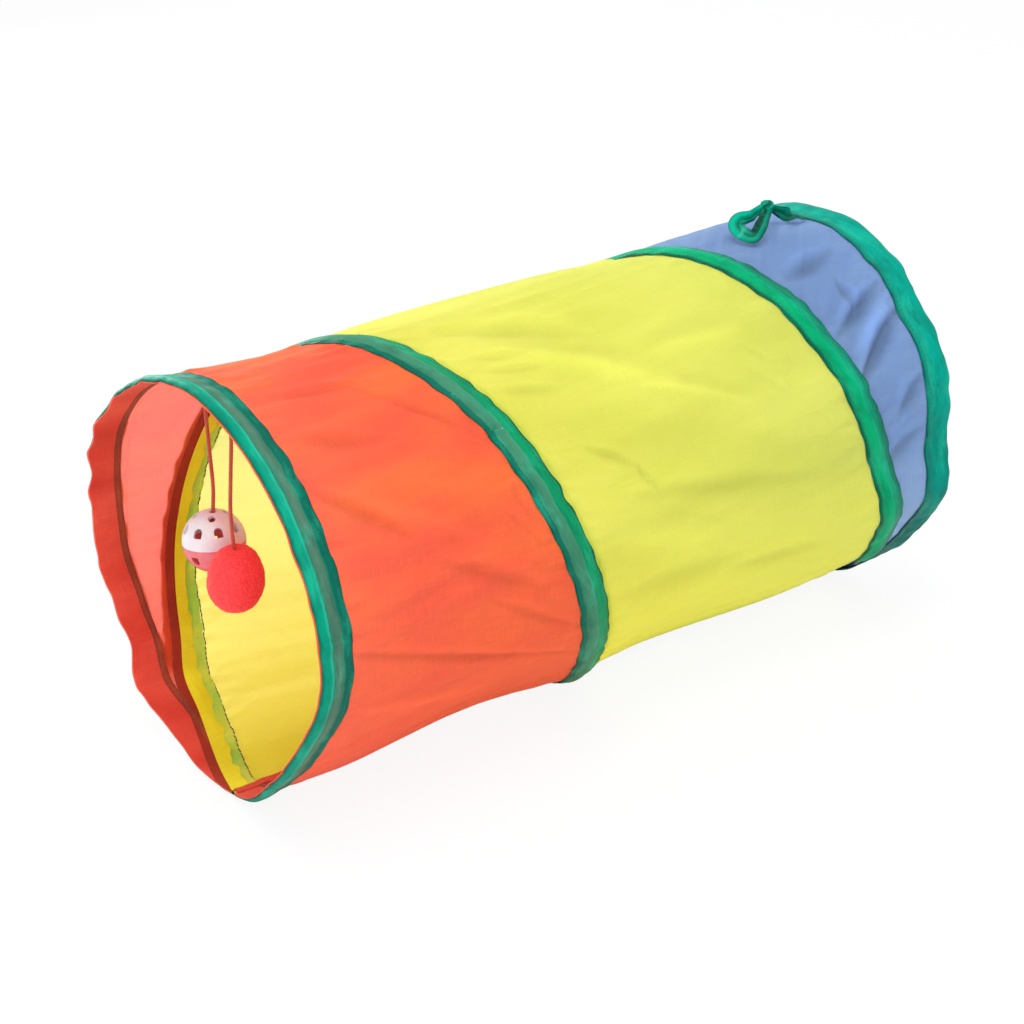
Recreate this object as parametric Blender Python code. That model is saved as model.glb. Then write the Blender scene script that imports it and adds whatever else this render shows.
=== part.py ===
"""Pop-up cat tunnel.

One long spring-steel wire makes the whole frame: a closed hoop at the front, two turns of a helix,
and a closed hoop at the back. Three thin cloth panels fill the spaces between its turns, and a
binding tape is sewn over the wire on the outside. Two toys hang on cords inside the front hoop,
and a ribbon tie is sewn to the back hoop.

Metres, +Z up. X runs along the tunnel from the front opening to the back one. The angle round the
tunnel starts at the floor, rises on the +Y side, crosses the top at half a turn and comes down on
the -Y side. The origin is on the floor under the middle of the tunnel.
"""
import math

import bmesh
import bpy
from mathutils import Matrix, Vector

MM = 0.001
TURN = 2 * math.pi

# Driving sizes of the tunnel
LENGTH = 504 * MM
DIAMETER = 250 * MM          # over the flat hems of the tape
HELIX_TURNS = 2
WIRE_DIAMETER = 1.8 * MM
WIRE_SIDES = 6
CLOTH_WALL = 0.7 * MM
TAPE_WALL = 0.7 * MM
TAPE_WIDTH = 21 * MM
CLEARANCE = 0.3 * MM         # between pieces that touch on the real tunnel
STRAND_GAP = 0.6 * MM        # between strands of wire that lie side by side
STATIONS = 48                # flat steps in one turn, shared by every piece that goes round

# How the light frame bends out of round
FRONT_THREE_LOBE = 0.8 * MM
FRONT_FOUR_LOBE = 2.2 * MM
BACK_TWO_LOBE = 2.5 * MM

# Ends of the wire
HOOP_INSET = 4.5 * MM        # hoop wire behind the rim
HOOP_EASE_START = math.radians(300)
HOOP_EASE_END = math.radians(330)
WIRE_LEAVE_BLEND = 1.5 * MM  # how softly the wire leaves the hoop for the helix
SLEEVE_LENGTH = 12 * MM
SLEEVE_WALL = 0.4 * MM
SLEEVE_BORE_CLEARANCE = 0.15 * MM
SLEEVE_STEP = 2.5            # centre of the sleeve, in stations before the hoop's lowest point
SLEEVE_LIFT = 0.6 * MM       # how far the tape rises over the sleeve

# Tape section
RIM_SHOW = 0.8 * MM          # cloth left bare in front of the end tapes
RIDGE_MARGIN = 0.3 * MM      # flat top of the tape on each side of the wire
RIM_RISE = 1.7 * MM          # run of the tape's slope on the rim side of a hoop
END_FALL = 9 * MM            # run of its slope on the inner side of a hoop
SPIRAL_SLOPE = 6.5 * MM      # run of both slopes over the helix
LEAST_STEP = 0.2 * MM
SOLE_CUT = 0.35 * MM         # how deep the lowest points are flattened by the floor
SOLE_EDGE = 0.96             # share of the flattened width that has its own row of points

# Panels
PANEL_ROWS = 6
POINT_ANGLE = math.radians(1.5)
CLOTH_SAG = 2.5 * MM         # how far the cloth is drawn in between two turns of wire
CREASE_DEPTH = 1.6 * MM
CREASES_ROUND = 9
CREASE_SLANT = 1.3
FULL_SLACK_SPAN = 100 * MM   # free span from which the cloth hangs with its full slack
SEAM_ANGLE = math.radians(-12)   # the seam that joins the panels' ends, a little to the -Y side
SEAM_FREE_ANGLE = math.radians(38)
SEAM_WIDTH = 6 * MM
SEAM_WALL = 0.9 * MM
SEAM_INSET = 2.5 * MM
SEAM_RUNS = 12

# Toys: where each cord is caught in the tape's hem, and what hangs on it
KNOT_DIAMETER = 4.4 * MM
KNOT_LAY = 0.07              # depth of the lay of its turns, as a share of its radius
CORD_DIAMETER = 2.4 * MM
CORD_STEP = 6 * MM
BALL_HANG_INSET = 25 * MM
BALL_HANG_ANGLE = math.radians(169.75)
BALL_HANG_SAG = 0.7 * MM     # how far the cloth is drawn in over the ball's knot
BALL_DROP = 101.3 * MM       # knot centre to ball centre
BALL_DIAMETER = 38 * MM
BALL_WALL = 1.6 * MM
BALL_HOLES = 8
BALL_HOLE_WIDTH = 5.4 * MM
BALL_HOLE_FOOT = 0.8         # below and above the hole's middle, as shares of its half width
BALL_HOLE_SHOULDER = 0.3
HOLE_CUT_FROM = 0.6          # the cutters' reach, as shares of the ball's radius
HOLE_CUT_TO = 1.2
UPPER_HOLE_LATITUDE = math.radians(30)
LOWER_HOLE_LATITUDE = math.radians(20)
BALL_TILT = math.radians(6.5)
UPPER_SPIN = math.radians(32)
LOWER_SPIN = math.radians(18)
BALL_CORD_HOLE = 4.4 * MM
BALL_CORD_REACH = 2 * MM     # how far the cord runs on inside the ball
BELL_DIAMETER = 11 * MM
BELL_WALL = 0.7 * MM
BELL_SLOT = 1.4 * MM
BELL_SLOT_SHARE = 0.82       # length of a slot as a share of the bell's width
PEA_DIAMETER = 3.4 * MM
POMPOM_HANG_INSET = 15.5 * MM
POMPOM_HANG_ANGLE = math.radians(188.25)
POMPOM_DROP = 109.3 * MM     # knot centre to pompom centre
POMPOM_WIDTH = 34 * MM
POMPOM_HEIGHT = 42 * MM
POMPOM_DIMPLE = 3 * MM
POMPOM_DIMPLE_ANGLE = 0.22
POMPOM_CORD_SEAT = 1.0 * MM  # how far above the dimple's floor the cord ends
POMPOM_LUMP = 0.5 * MM

# Ribbon tie at the top of the back tape. Its lines are chosen by hand. Each point gives millimetres
# from the tape's edge, degrees from the top and millimetres above the cloth.
RIBBON_WIDTH = 9 * MM
RIBBON_THICKNESS = 1.0 * MM
LOOP_WIDTH = 6 * MM
LOOP_STEP = 6 * MM
TIE_ROOT_GAP = 1.4 * MM
TIE_OFF_TOP = -2.0
TIE_KNOT_SIZE = 10 * MM
TIE_KNOT_LENGTH = 8.6 * MM
TIE_KNOT_FOLD = 0.08
TIE_KNOT_PLACE = (27.0, -6.2, 12.8)
STRAP_RISE = [(7.0, -2.8, 2.4), (14.0, -4.2, 6.4)]
STRAP_WIDTHS = [RIBBON_WIDTH, RIBBON_WIDTH, 0.85 * RIBBON_WIDTH, 0.6 * RIBBON_WIDTH]
STRAP_LEAN = (0, 0.75, 0.66)
LOOP_LINE = [(45.4, -6.0, 11.8), (55.1, -6.5, 9.3), (62.9, -2.5, 5.9), (65.3, 2.3, 3.9), (62.2, 4.7, 3.9),
             (52.1, 3.4, 5.6), (41.5, 0.6, 8.4)]
LOOP_LEAVES = (-0.98, 0.1, -0.05)
LOOP_RETURNS = (-0.6, -0.77, -0.2)
LOOP_FACING = (0.1, -0.28, 0.95)

# Colours: base colour, roughness, metallic
STEEL = ((0.55, 0.56, 0.58), 0.35, 1.0)
ZINC = ((0.42, 0.43, 0.45), 0.45, 1.0)
GREEN = ((0.02, 0.42, 0.27), 0.55, 0.0)
RED = ((0.90, 0.13, 0.06), 0.8, 0.0)
YELLOW = ((0.85, 0.78, 0.16), 0.8, 0.0)
BLUE = ((0.23, 0.36, 0.66), 0.8, 0.0)
SEAM_RED = ((0.62, 0.07, 0.03), 0.85, 0.0)
CORD_RED = ((0.62, 0.10, 0.04), 0.7, 0.0)
WHITE = ((0.86, 0.80, 0.80), 0.3, 0.0)
PINK = ((0.90, 0.28, 0.30), 0.3, 0.0)
BRASS = ((0.80, 0.58, 0.22), 0.25, 1.0)
PLUSH = ((0.90, 0.05, 0.06), 1.0, 0.0)

# Sizes that follow from the ones above
HALF = LENGTH / 2
PITCH = LENGTH / HELIX_TURNS
HELIX_ANGLE = TURN * HELIX_TURNS
STEP = TURN / STATIONS
CLOTH_RADIUS = DIAMETER / 2 - TAPE_WALL - CLEARANCE
SLEEVE_HALF = WIRE_DIAMETER / 2 + SLEEVE_BORE_CLEARANCE + SLEEVE_WALL
WIRE_HEIGHT = CLEARANCE + SLEEVE_HALF
HEM_HEIGHT = CLEARANCE + TAPE_WALL
COVER_HEIGHT = WIRE_HEIGHT + WIRE_DIAMETER / 2 + CLEARANCE + TAPE_WALL
WIRE_SPACING = WIRE_DIAMETER + STRAND_GAP
FRONT, BACK = -1, 1


def facet(angle):
    """Radius share that keeps a point on the flat-sided tube that all pieces share."""
    return math.cos(STEP / 2) / math.cos(angle % STEP - STEP / 2)


def cloth_radius(angle, x):
    """Radius of the cloth's outer face, a little out of round near both ends."""
    front = ((HALF - x) / LENGTH) ** 2
    back = ((HALF + x) / LENGTH) ** 2
    lobes = FRONT_THREE_LOBE * math.cos(3 * angle) + FRONT_FOUR_LOBE * math.cos(4 * angle)
    return CLOTH_RADIUS + front * lobes + back * BACK_TWO_LOBE * math.cos(2 * angle)


def axis_height(x):
    """Height of the tunnel's axis, so that the tape's ridge just presses on the floor all along."""
    return cloth_radius(0, x) + COVER_HEIGHT - SOLE_CUT


def place(angle, x, height):
    """Point at an angle round the tunnel, at x along it, at a height above the cloth."""
    radius = (cloth_radius(angle, x) + height) * facet(angle)
    z = axis_height(x) - radius * math.cos(angle)
    return Vector((x, radius * math.sin(angle), max(z, 0)))


def helix_x(angle):
    return -HALF + PITCH * angle / TURN


def sole_angle():
    """Angle from the lowest point at which a flat side of the tape leaves the floor."""
    fall = (CLOTH_RADIUS + COVER_HEIGHT) * (1 - math.cos(STEP))
    return SOLE_EDGE * STEP * min(SOLE_CUT / fall, 1)


def soften(value):
    value = min(max(value, 0), 1)
    return value * value * (3 - 2 * value)


def round_angles(first, last):
    """First, last, each station between them, and the sole's edges at each lowest point."""
    angles = {round(first, 9), round(last, 9)}
    for k in range(math.ceil(first / STEP), math.floor(last / STEP) + 1):
        angles.add(round(k * STEP, 9))
    for turn in range(-1, HELIX_TURNS + 1):
        for side in (-1, 1):
            edge = turn * TURN + side * sole_angle()
            if first < edge < last:
                angles.add(round(edge, 9))
    ordered = sorted(angles)
    kept = [ordered[0]]
    for angle in ordered[1:]:
        if angle - kept[-1] > STEP / 40:
            kept.append(angle)
    kept[-1] = ordered[-1]
    return kept


def material(name, look):
    colour, roughness, metallic = look
    mat = bpy.data.materials.get(name)
    if mat is None:
        mat = bpy.data.materials.new(name)
        mat.use_nodes = True
        shader = mat.node_tree.nodes["Principled BSDF"]
        shader.inputs["Base Color"].default_value = (*colour, 1)
        shader.inputs["Roughness"].default_value = roughness
        shader.inputs["Metallic"].default_value = metallic
        mat.diffuse_color = (*colour, 1)
    return mat


def add_object(name, data, look, pivot=None):
    """Link an object whose mesh is in world space, with its origin moved to its pivot."""
    thing = bpy.data.objects.new(name, data)
    bpy.context.collection.objects.link(thing)
    data.materials.append(material(name + "_finish", look))
    if pivot is not None:
        data.transform(Matrix.Translation(-Vector(pivot)))
        thing.location = pivot
    return thing


def add_mesh(name, points, faces, look, pivot=None, sharp=35):
    mesh = bpy.data.meshes.new(name)
    mesh.from_pydata([tuple(p) for p in points], [], faces)
    work = bmesh.new()
    work.from_mesh(mesh)
    bmesh.ops.recalc_face_normals(work, faces=work.faces)
    work.to_mesh(mesh)
    work.free()
    mesh.shade_smooth()
    mesh.set_sharp_from_angle(angle=math.radians(sharp))
    return add_object(name, mesh, look, pivot)


def loft(name, sections, look, closed=False, pivot=None, sharp=35):
    """Solid through equal closed sections. An open loft gets an end face on each end."""
    size = len(sections[0])
    points = [p for section in sections for p in section]
    faces = []
    spans = len(sections) if closed else len(sections) - 1
    for i in range(spans):
        here, there = i * size, (i + 1) % len(sections) * size
        for k in range(size):
            n = (k + 1) % size
            faces.append((here + k, here + n, there + n, there + k))
    if not closed:
        faces.append(tuple(range(size)))
        faces.append(tuple(reversed(range(len(points) - size, len(points)))))
    return add_mesh(name, points, faces, look, pivot, sharp)


def tube(name, points, diameter, look, sides_level, pivot=None):
    """Round wire or cord along a line of points."""
    curve = bpy.data.curves.new(name, "CURVE")
    curve.dimensions = "3D"
    curve.bevel_depth = diameter / 2
    curve.bevel_resolution = sides_level
    curve.render_resolution_u = 0
    curve.use_fill_caps = True
    line = curve.splines.new("POLY")
    line.points.add(len(points) - 1)
    for slot, point in zip(line.points, points):
        slot.co = (*point, 1)
    return add_object(name, curve, look, pivot)


def smooth_route(points, spacing):
    """Evenly spaced points on a smooth curve through a cord's own points."""
    fine = []
    ends = [2 * points[0] - points[1]] + points + [2 * points[-1] - points[-2]]
    for a, b, c, d in zip(ends, ends[1:], ends[2:], ends[3:]):
        for k in range(12):
            t = k / 12
            fine.append(0.5 * (2 * b + (c - a) * t + (2 * a - 5 * b + 4 * c - d) * t ** 2
                               + (3 * b - a - 3 * c + d) * t ** 3))
    fine.append(points[-1])
    total = sum((q - p).length for p, q in zip(fine, fine[1:]))
    count = max(4, round(total / spacing))
    route, walked, target = [fine[0]], 0, total / count
    for p, q in zip(fine, fine[1:]):
        run = (q - p).length
        while walked + run >= target and len(route) < count:
            route.append(p.lerp(q, (target - walked) / run))
            target += total / count
        walked += run
    route.append(fine[-1])
    return route


# The wire: a hoop at each end and the helix between them
def end_point(end, angle, inset, height):
    """Point near one end. The back end is the front one turned half round on the floor."""
    return place(-end * angle, end * (HALF - inset), height)


def leaving_inset(angle):
    """Inset of the wire that lies beside the hoop and then leaves it as the helix."""
    beside = HOOP_INSET + WIRE_SPACING
    along = PITCH * angle / TURN
    return (beside + along + math.hypot(beside - along, WIRE_LEAVE_BLEND)) / 2


def hoop_inset(angle):
    ease = (angle - HOOP_EASE_START) / (HOOP_EASE_END - HOOP_EASE_START)
    return HOOP_INSET + WIRE_SPACING * soften(ease)


SLEEVE_ANGLE = -SLEEVE_STEP * STEP
WIRE_CUT = 0.5 * CLEARANCE / CLOTH_RADIUS


def stations_between(first, last):
    inner = [k * STEP for k in range(math.ceil(first / STEP + 0.05), math.floor(last / STEP - 0.05) + 1)]
    return [first] + inner + [last]


def least_self_gap(points):
    """Least open gap between two parts of one wire that are more than a quarter turn apart."""
    least = math.inf
    for i, point in enumerate(points):
        for k in range(i + STATIONS // 4, len(points) - 1):
            along = points[k + 1] - points[k]
            share = min(max((point - points[k]).dot(along) / along.length_squared, 0), 1)
            least = min(least, (point - points[k] - share * along).length)
    return least - WIRE_DIAMETER


def steel_wire(name, points):
    """Round wire along a line of points, with its sides kept square to the cloth."""
    radius = WIRE_DIAMETER / 2
    sections = []
    for k, point in enumerate(points):
        before, after = points[max(k - 1, 0)], points[min(k + 1, len(points) - 1)]
        along = (after - before).normalized()
        outward = Vector((0, point.y, point.z - axis_height(point.x)))
        outward = (outward - outward.dot(along) * along).normalized()
        across = along.cross(outward)
        section = []
        for i in range(WIRE_SIDES):
            turn = TURN * i / WIRE_SIDES
            section.append(point + radius * (outward * math.cos(turn) + across * math.sin(turn)))
        sections.append(section)
    loft(name, sections, STEEL, sharp=70)
    print(name, "least gap to itself", round(least_self_gap(points) / MM, 2), "mm")


def hoop_wire(name, end):
    first = -math.ceil(SLEEVE_STEP) * STEP
    last = TURN + SLEEVE_ANGLE - WIRE_CUT
    points = [end_point(end, a, hoop_inset(a), WIRE_HEIGHT) for a in stations_between(first, last)]
    steel_wire(name, points)


def spiral_point(angle):
    """Point of the helix wire. Its second half is its first half turned round."""
    if angle <= HELIX_ANGLE / 2:
        return end_point(FRONT, angle, leaving_inset(angle), WIRE_HEIGHT)
    turned = HELIX_ANGLE - angle
    return end_point(BACK, turned, leaving_inset(turned), WIRE_HEIGHT)


def spiral_wire():
    first = SLEEVE_ANGLE + WIRE_CUT
    points = [spiral_point(a) for a in stations_between(first, HELIX_ANGLE - first)]
    steel_wire("spiral_wire", points)


def sleeve(name, end):
    """Flattened crimp sleeve round the two strands that lie side by side."""
    a, b = SLEEVE_ANGLE - STEP / 2, SLEEVE_ANGLE + STEP / 2
    inset = HOOP_INSET + WIRE_SPACING / 2
    start, stop = end_point(end, a, inset, WIRE_HEIGHT), end_point(end, b, inset, WIRE_HEIGHT)
    middle = (start + stop) / 2
    along = (stop - start).normalized()
    across = Vector((1, 0, 0))
    across = (across - across.dot(along) * along).normalized()
    outward = along.cross(across)

    def ring(radius, shift):
        loop = []
        for k in range(16):
            turn = TURN * (k + 0.5) / 16
            side = math.copysign(WIRE_SPACING / 2, math.cos(turn))
            loop.append(middle + along * shift + across * (side + radius * math.cos(turn))
                        + outward * radius * math.sin(turn))
        return loop

    outer, inner = SLEEVE_HALF, SLEEVE_HALF - SLEEVE_WALL
    half = SLEEVE_LENGTH / 2
    loft(name, [ring(outer, -half), ring(outer, half), ring(inner, half), ring(inner, -half)],
         ZINC, closed=True)


# The binding tape
def tape_section(point_at, low, high, ridge_low, ridge_high, rise, fall, lift=0.0):
    """Closed section of tape from low to high, raised over the wire between the ridge lines."""
    places = [low, ridge_low - rise, ridge_low, ridge_high, ridge_high + fall, high]
    count = len(places)
    for k in range(count):
        places[k] = min(max(places[k], low + k * LEAST_STEP), high - (count - 1 - k) * LEAST_STEP)

    def top(x):
        if x < ridge_low:
            share = 1 - (ridge_low - x) / rise
        elif x > ridge_high:
            share = 1 - (x - ridge_high) / fall
        else:
            share = 1
        share = min(max(share, 0), 1)
        return HEM_HEIGHT + share * (COVER_HEIGHT + lift - HEM_HEIGHT)

    outer = [point_at(x, top(x)) for x in places]
    inner = [point_at(x, top(x) - TAPE_WALL) for x in reversed(places)]
    return outer + inner


def end_tape(name, end):
    """Tape round one end hoop, widened over the strand that leaves the hoop."""
    ridge = WIRE_DIAMETER / 2 + RIDGE_MARGIN
    crossing = TURN * (RIM_SHOW + TAPE_WIDTH + ridge + RIM_RISE) / PITCH
    sleeve_stations = {math.ceil(-SLEEVE_STEP), math.floor(-SLEEVE_STEP)}
    angles = round_angles(HOOP_EASE_START - TURN, HOOP_EASE_START)[:-1]
    sections = []
    for angle in angles:
        if angle < 0:
            inner_wire = hoop_inset(angle + TURN)
        elif angle < crossing + STEP:
            inner_wire = leaving_inset(angle)
        else:
            inner_wire = HOOP_INSET
        over_sleeve = round(angle / STEP, 6) in sleeve_stations
        extra = SLEEVE_HALF - WIRE_DIAMETER / 2 if over_sleeve else 0
        sections.append(tape_section(
            lambda inset, height, a=angle: end_point(end, a, inset, height),
            RIM_SHOW, RIM_SHOW + TAPE_WIDTH, HOOP_INSET - ridge - extra, inner_wire + ridge + extra,
            RIM_RISE, END_FALL, SLEEVE_LIFT if over_sleeve else 0))
    loft(name, sections, GREEN, closed=True, sharp=50)


def spiral_tape():
    """Tape over the helix, tapered where it comes out from behind the end tapes."""
    ridge = WIRE_DIAMETER / 2 + RIDGE_MARGIN
    hidden = RIM_SHOW + TAPE_WIDTH + CLEARANCE
    start = math.ceil(TURN * (hidden + 3 * MM - TAPE_WIDTH / 2) / PITCH / STEP) * STEP
    sections = []
    for angle in round_angles(start, HELIX_ANGLE - start):
        middle = helix_x(angle)
        low = max(middle - TAPE_WIDTH / 2, hidden - HALF)
        high = min(middle + TAPE_WIDTH / 2, HALF - hidden)
        ridge_low, ridge_high = middle - ridge, middle + ridge
        if ridge_low - PITCH / STATIONS < hidden - HALF:
            ridge_low = low
        if ridge_high + PITCH / STATIONS > HALF - hidden:
            ridge_high = high
        sections.append(tape_section(
            lambda x, height, a=angle: place(a, x, height),
            low, high, ridge_low, ridge_high, SPIRAL_SLOPE, SPIRAL_SLOPE))
    loft("spiral_binding", sections, GREEN, sharp=50)


# The cloth
def draw_in(angle, share):
    """How far the cloth is drawn in at a share of the free span between two tapes."""
    if share <= 0 or share >= 1:
        return 0
    past_seam = (angle - SEAM_ANGLE) % TURN
    off_seam = min(past_seam, TURN - past_seam)
    span = 4 * share * (1 - share) * soften(off_seam / SEAM_FREE_ANGLE)
    crease = 0.5 + 0.5 * math.sin(CREASES_ROUND * angle + CREASE_SLANT * TURN * share)
    return span * (CLOTH_SAG + CREASE_DEPTH * crease)


def panel(name, look, front_edge, back_edge, first, last, front_cover, back_cover):
    """One cloth panel between two edges, each hidden under the tape as far as its cover."""
    sections = []
    for angle in stations_between(first, last):
        low, high = front_edge(angle), back_edge(angle)
        middle = (low + high) / 2
        free_low = min(low + front_cover, middle - LEAST_STEP)
        free_high = max(high - back_cover, middle + LEAST_STEP)
        places = [(low, 0)]
        for k in range(PANEL_ROWS + 1):
            share = k / PANEL_ROWS
            places.append((free_low + share * (free_high - free_low), share))
        places.append((high, 0))
        slack = min((free_high - free_low) / FULL_SLACK_SPAN, 1)
        outer = [place(angle, x, -slack * draw_in(angle, share)) for x, share in places]
        inner = [place(angle, x, -slack * draw_in(angle, share) - CLOTH_WALL)
                 for x, share in reversed(places)]
        sections.append(outer + inner)
    loft(name, sections, look, sharp=60)


def panels():
    half_gap = CLEARANCE / 2
    first = SEAM_ANGLE + half_gap / CLOTH_RADIUS
    last = TURN + SEAM_ANGLE - half_gap / CLOTH_RADIUS
    end_cover = RIM_SHOW + TAPE_WIDTH
    tape_half = TAPE_WIDTH / 2
    panel("red_panel", RED, lambda a: -HALF, lambda a: helix_x(a) - half_gap,
          POINT_ANGLE, last, end_cover, tape_half)
    panel("yellow_panel", YELLOW, lambda a: max(helix_x(a) + half_gap, -HALF),
          lambda a: helix_x(a + TURN) - half_gap, first, last, tape_half, tape_half)
    panel("blue_panel", BLUE, lambda a: helix_x(a + TURN) + half_gap, lambda a: HALF,
          first, last, tape_half, end_cover)


def bottom_seam():
    """The joined edges of the panels, turned over and laid flat inside near the floor line."""
    low = -CLOTH_WALL - CLEARANCE
    top = low - SEAM_WALL
    reach = SEAM_WIDTH / 2 / CLOTH_RADIUS
    crest = 0.8 * reach
    sections = []
    for k in range(SEAM_RUNS + 1):
        x = (HALF - SEAM_INSET) * (2 * k / SEAM_RUNS - 1)
        corners = [(-reach, low), (0, low), (reach, low), (crest, top), (0, top), (-crest, top)]
        sections.append([place(SEAM_ANGLE + off, x, height) for off, height in corners])
    loft("bottom_seam", sections, SEAM_RED)


# The toys
def ball_of_points(rings, segments, radius_at):
    """Points and faces of a closed round form with a pole at each end of its own Z axis."""
    points, faces = [Vector((0, 0, radius_at(0, 0)))], []
    for i in range(1, rings):
        polar = math.pi * i / rings
        for k in range(segments):
            turn = TURN * k / segments
            r = radius_at(polar, turn)
            points.append(Vector((r * math.sin(polar) * math.cos(turn),
                                  r * math.sin(polar) * math.sin(turn), r * math.cos(polar))))
    points.append(Vector((0, 0, -radius_at(math.pi, 0))))
    for k in range(segments):
        n = (k + 1) % segments
        faces.append((0, 1 + k, 1 + n))
        for i in range(rings - 2):
            a = 1 + i * segments
            faces.append((a + k, a + segments + k, a + segments + n, a + n))
        last = 1 + (rings - 2) * segments
        faces.append((last + k, len(points) - 1, last + n))
    return points, faces


def cord_knot(name, centre, pivot):
    """Overhand knot in a cord, with the lay of its turns on it."""
    def lumpy(polar, turn):
        lay = math.cos(3 * turn + 4 * polar) * math.sin(polar)
        return KNOT_DIAMETER / 2 * (1 - KNOT_LAY + KNOT_LAY * lay)

    points, faces = ball_of_points(8, 12, lumpy)
    add_mesh(name, [p + centre for p in points], faces, CORD_RED, pivot)


def hang_point(inset, angle, sag):
    """Centre of the knot, just inside the cloth."""
    return end_point(FRONT, angle, inset, -sag - CLOTH_WALL - CLEARANCE - KNOT_DIAMETER / 2)


def hanging_route(top, bottom, bows):
    """Points of a cord that hangs from top to bottom, with small sideways bows chosen by hand."""
    route = [top]
    for share, dx, dy in bows:
        route.append(top.lerp(bottom, share) + Vector((dx, dy, 0)) * MM)
    return route + [bottom]


BALL_KNOT = hang_point(BALL_HANG_INSET, BALL_HANG_ANGLE, BALL_HANG_SAG)
BALL_CENTRE = BALL_KNOT - Vector((0, 0, BALL_DROP))
BALL_CORD_END = BALL_CENTRE + Vector((0, 0, BALL_DIAMETER / 2 - BALL_WALL - BALL_CORD_REACH))
POMPOM_KNOT = hang_point(POMPOM_HANG_INSET, POMPOM_HANG_ANGLE, 0)
POMPOM_CENTRE = POMPOM_KNOT - Vector((0, 0, POMPOM_DROP))
# Sideways bows of the cords, chosen by hand: share of the way down, millimetres along X and Y
BALL_CORD_BOWS = [(0.15, -0.6, 0.5), (0.45, 0.1, 0.0), (0.75, 0.9, -0.7), (0.9, 0.5, -0.4)]
POMPOM_CORD_BOWS = [(0.2, 1.2, -1.0), (0.45, 0.3, -0.2), (0.7, -0.7, 0.6), (0.88, -0.5, 0.4)]


def cords():
    below_knot = Vector((0, 0, KNOT_DIAMETER / 2 + CLEARANCE))
    route = hanging_route(BALL_KNOT - below_knot, BALL_CORD_END, BALL_CORD_BOWS)
    tube("ball_cord", smooth_route(route, CORD_STEP), CORD_DIAMETER, CORD_RED, 2, BALL_KNOT)
    pompom_top = POMPOM_CENTRE + Vector((0, 0, POMPOM_HEIGHT / 2 - POMPOM_DIMPLE + POMPOM_CORD_SEAT))
    route = hanging_route(POMPOM_KNOT - below_knot, pompom_top, POMPOM_CORD_BOWS)
    tube("pompom_cord", smooth_route(route, CORD_STEP), CORD_DIAMETER, CORD_RED, 2, POMPOM_KNOT)


def half_turn(flip):
    """How a half is turned. The ball's axis leans to the +Y side, and its halves aren't quite in line."""
    own = Matrix.Rotation(LOWER_SPIN, 4, "Z") @ Matrix.Rotation(math.pi, 4, "X") if flip else (
        Matrix.Rotation(UPPER_SPIN, 4, "Z"))
    return Matrix.Translation(BALL_CENTRE) @ Matrix.Rotation(-BALL_TILT, 4, "X") @ own


def hole_cutter(latitude):
    """One closed cutter for all the holes of a half: D-shaped prisms that point outwards."""
    cutter = bmesh.new()
    half = BALL_HOLE_WIDTH / 2
    outline = [(half, -BALL_HOLE_FOOT * half)]
    for k in range(7):
        turn = math.pi * k / 6
        outline.append((half * math.cos(turn), (BALL_HOLE_SHOULDER + math.sin(turn)) * half))
    outline.append((-half, -BALL_HOLE_FOOT * half))
    for k in range(BALL_HOLES):
        turn = Matrix.Rotation(TURN * k / BALL_HOLES, 4, "Z") @ Matrix.Rotation(-latitude, 4, "Y")
        loops = []
        for size in (HOLE_CUT_FROM, HOLE_CUT_TO):
            depth = size * BALL_DIAMETER / 2
            loops.append([cutter.verts.new(turn @ Vector((depth, size * y, size * z))) for y, z in outline])
        count = len(outline)
        for i in range(count):
            n = (i + 1) % count
            cutter.faces.new((loops[0][i], loops[0][n], loops[1][n], loops[1][i]))
        cutter.faces.new(list(reversed(loops[0])))
        cutter.faces.new(loops[1])
    bmesh.ops.recalc_face_normals(cutter, faces=cutter.faces)
    return cutter


def add_cutter(name, work, turn):
    mesh = bpy.data.meshes.new(name)
    work.to_mesh(mesh)
    work.free()
    mesh.transform(turn)
    cutter = bpy.data.objects.new(name, mesh)
    bpy.context.collection.objects.link(cutter)
    cutter.hide_render = True
    cutter.display_type = "WIRE"
    return cutter


def cut(thing, cutter):
    hole = thing.modifiers.new(cutter.name, "BOOLEAN")
    hole.operation = "DIFFERENCE"
    hole.object = cutter
    hole.solver = "EXACT"


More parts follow.
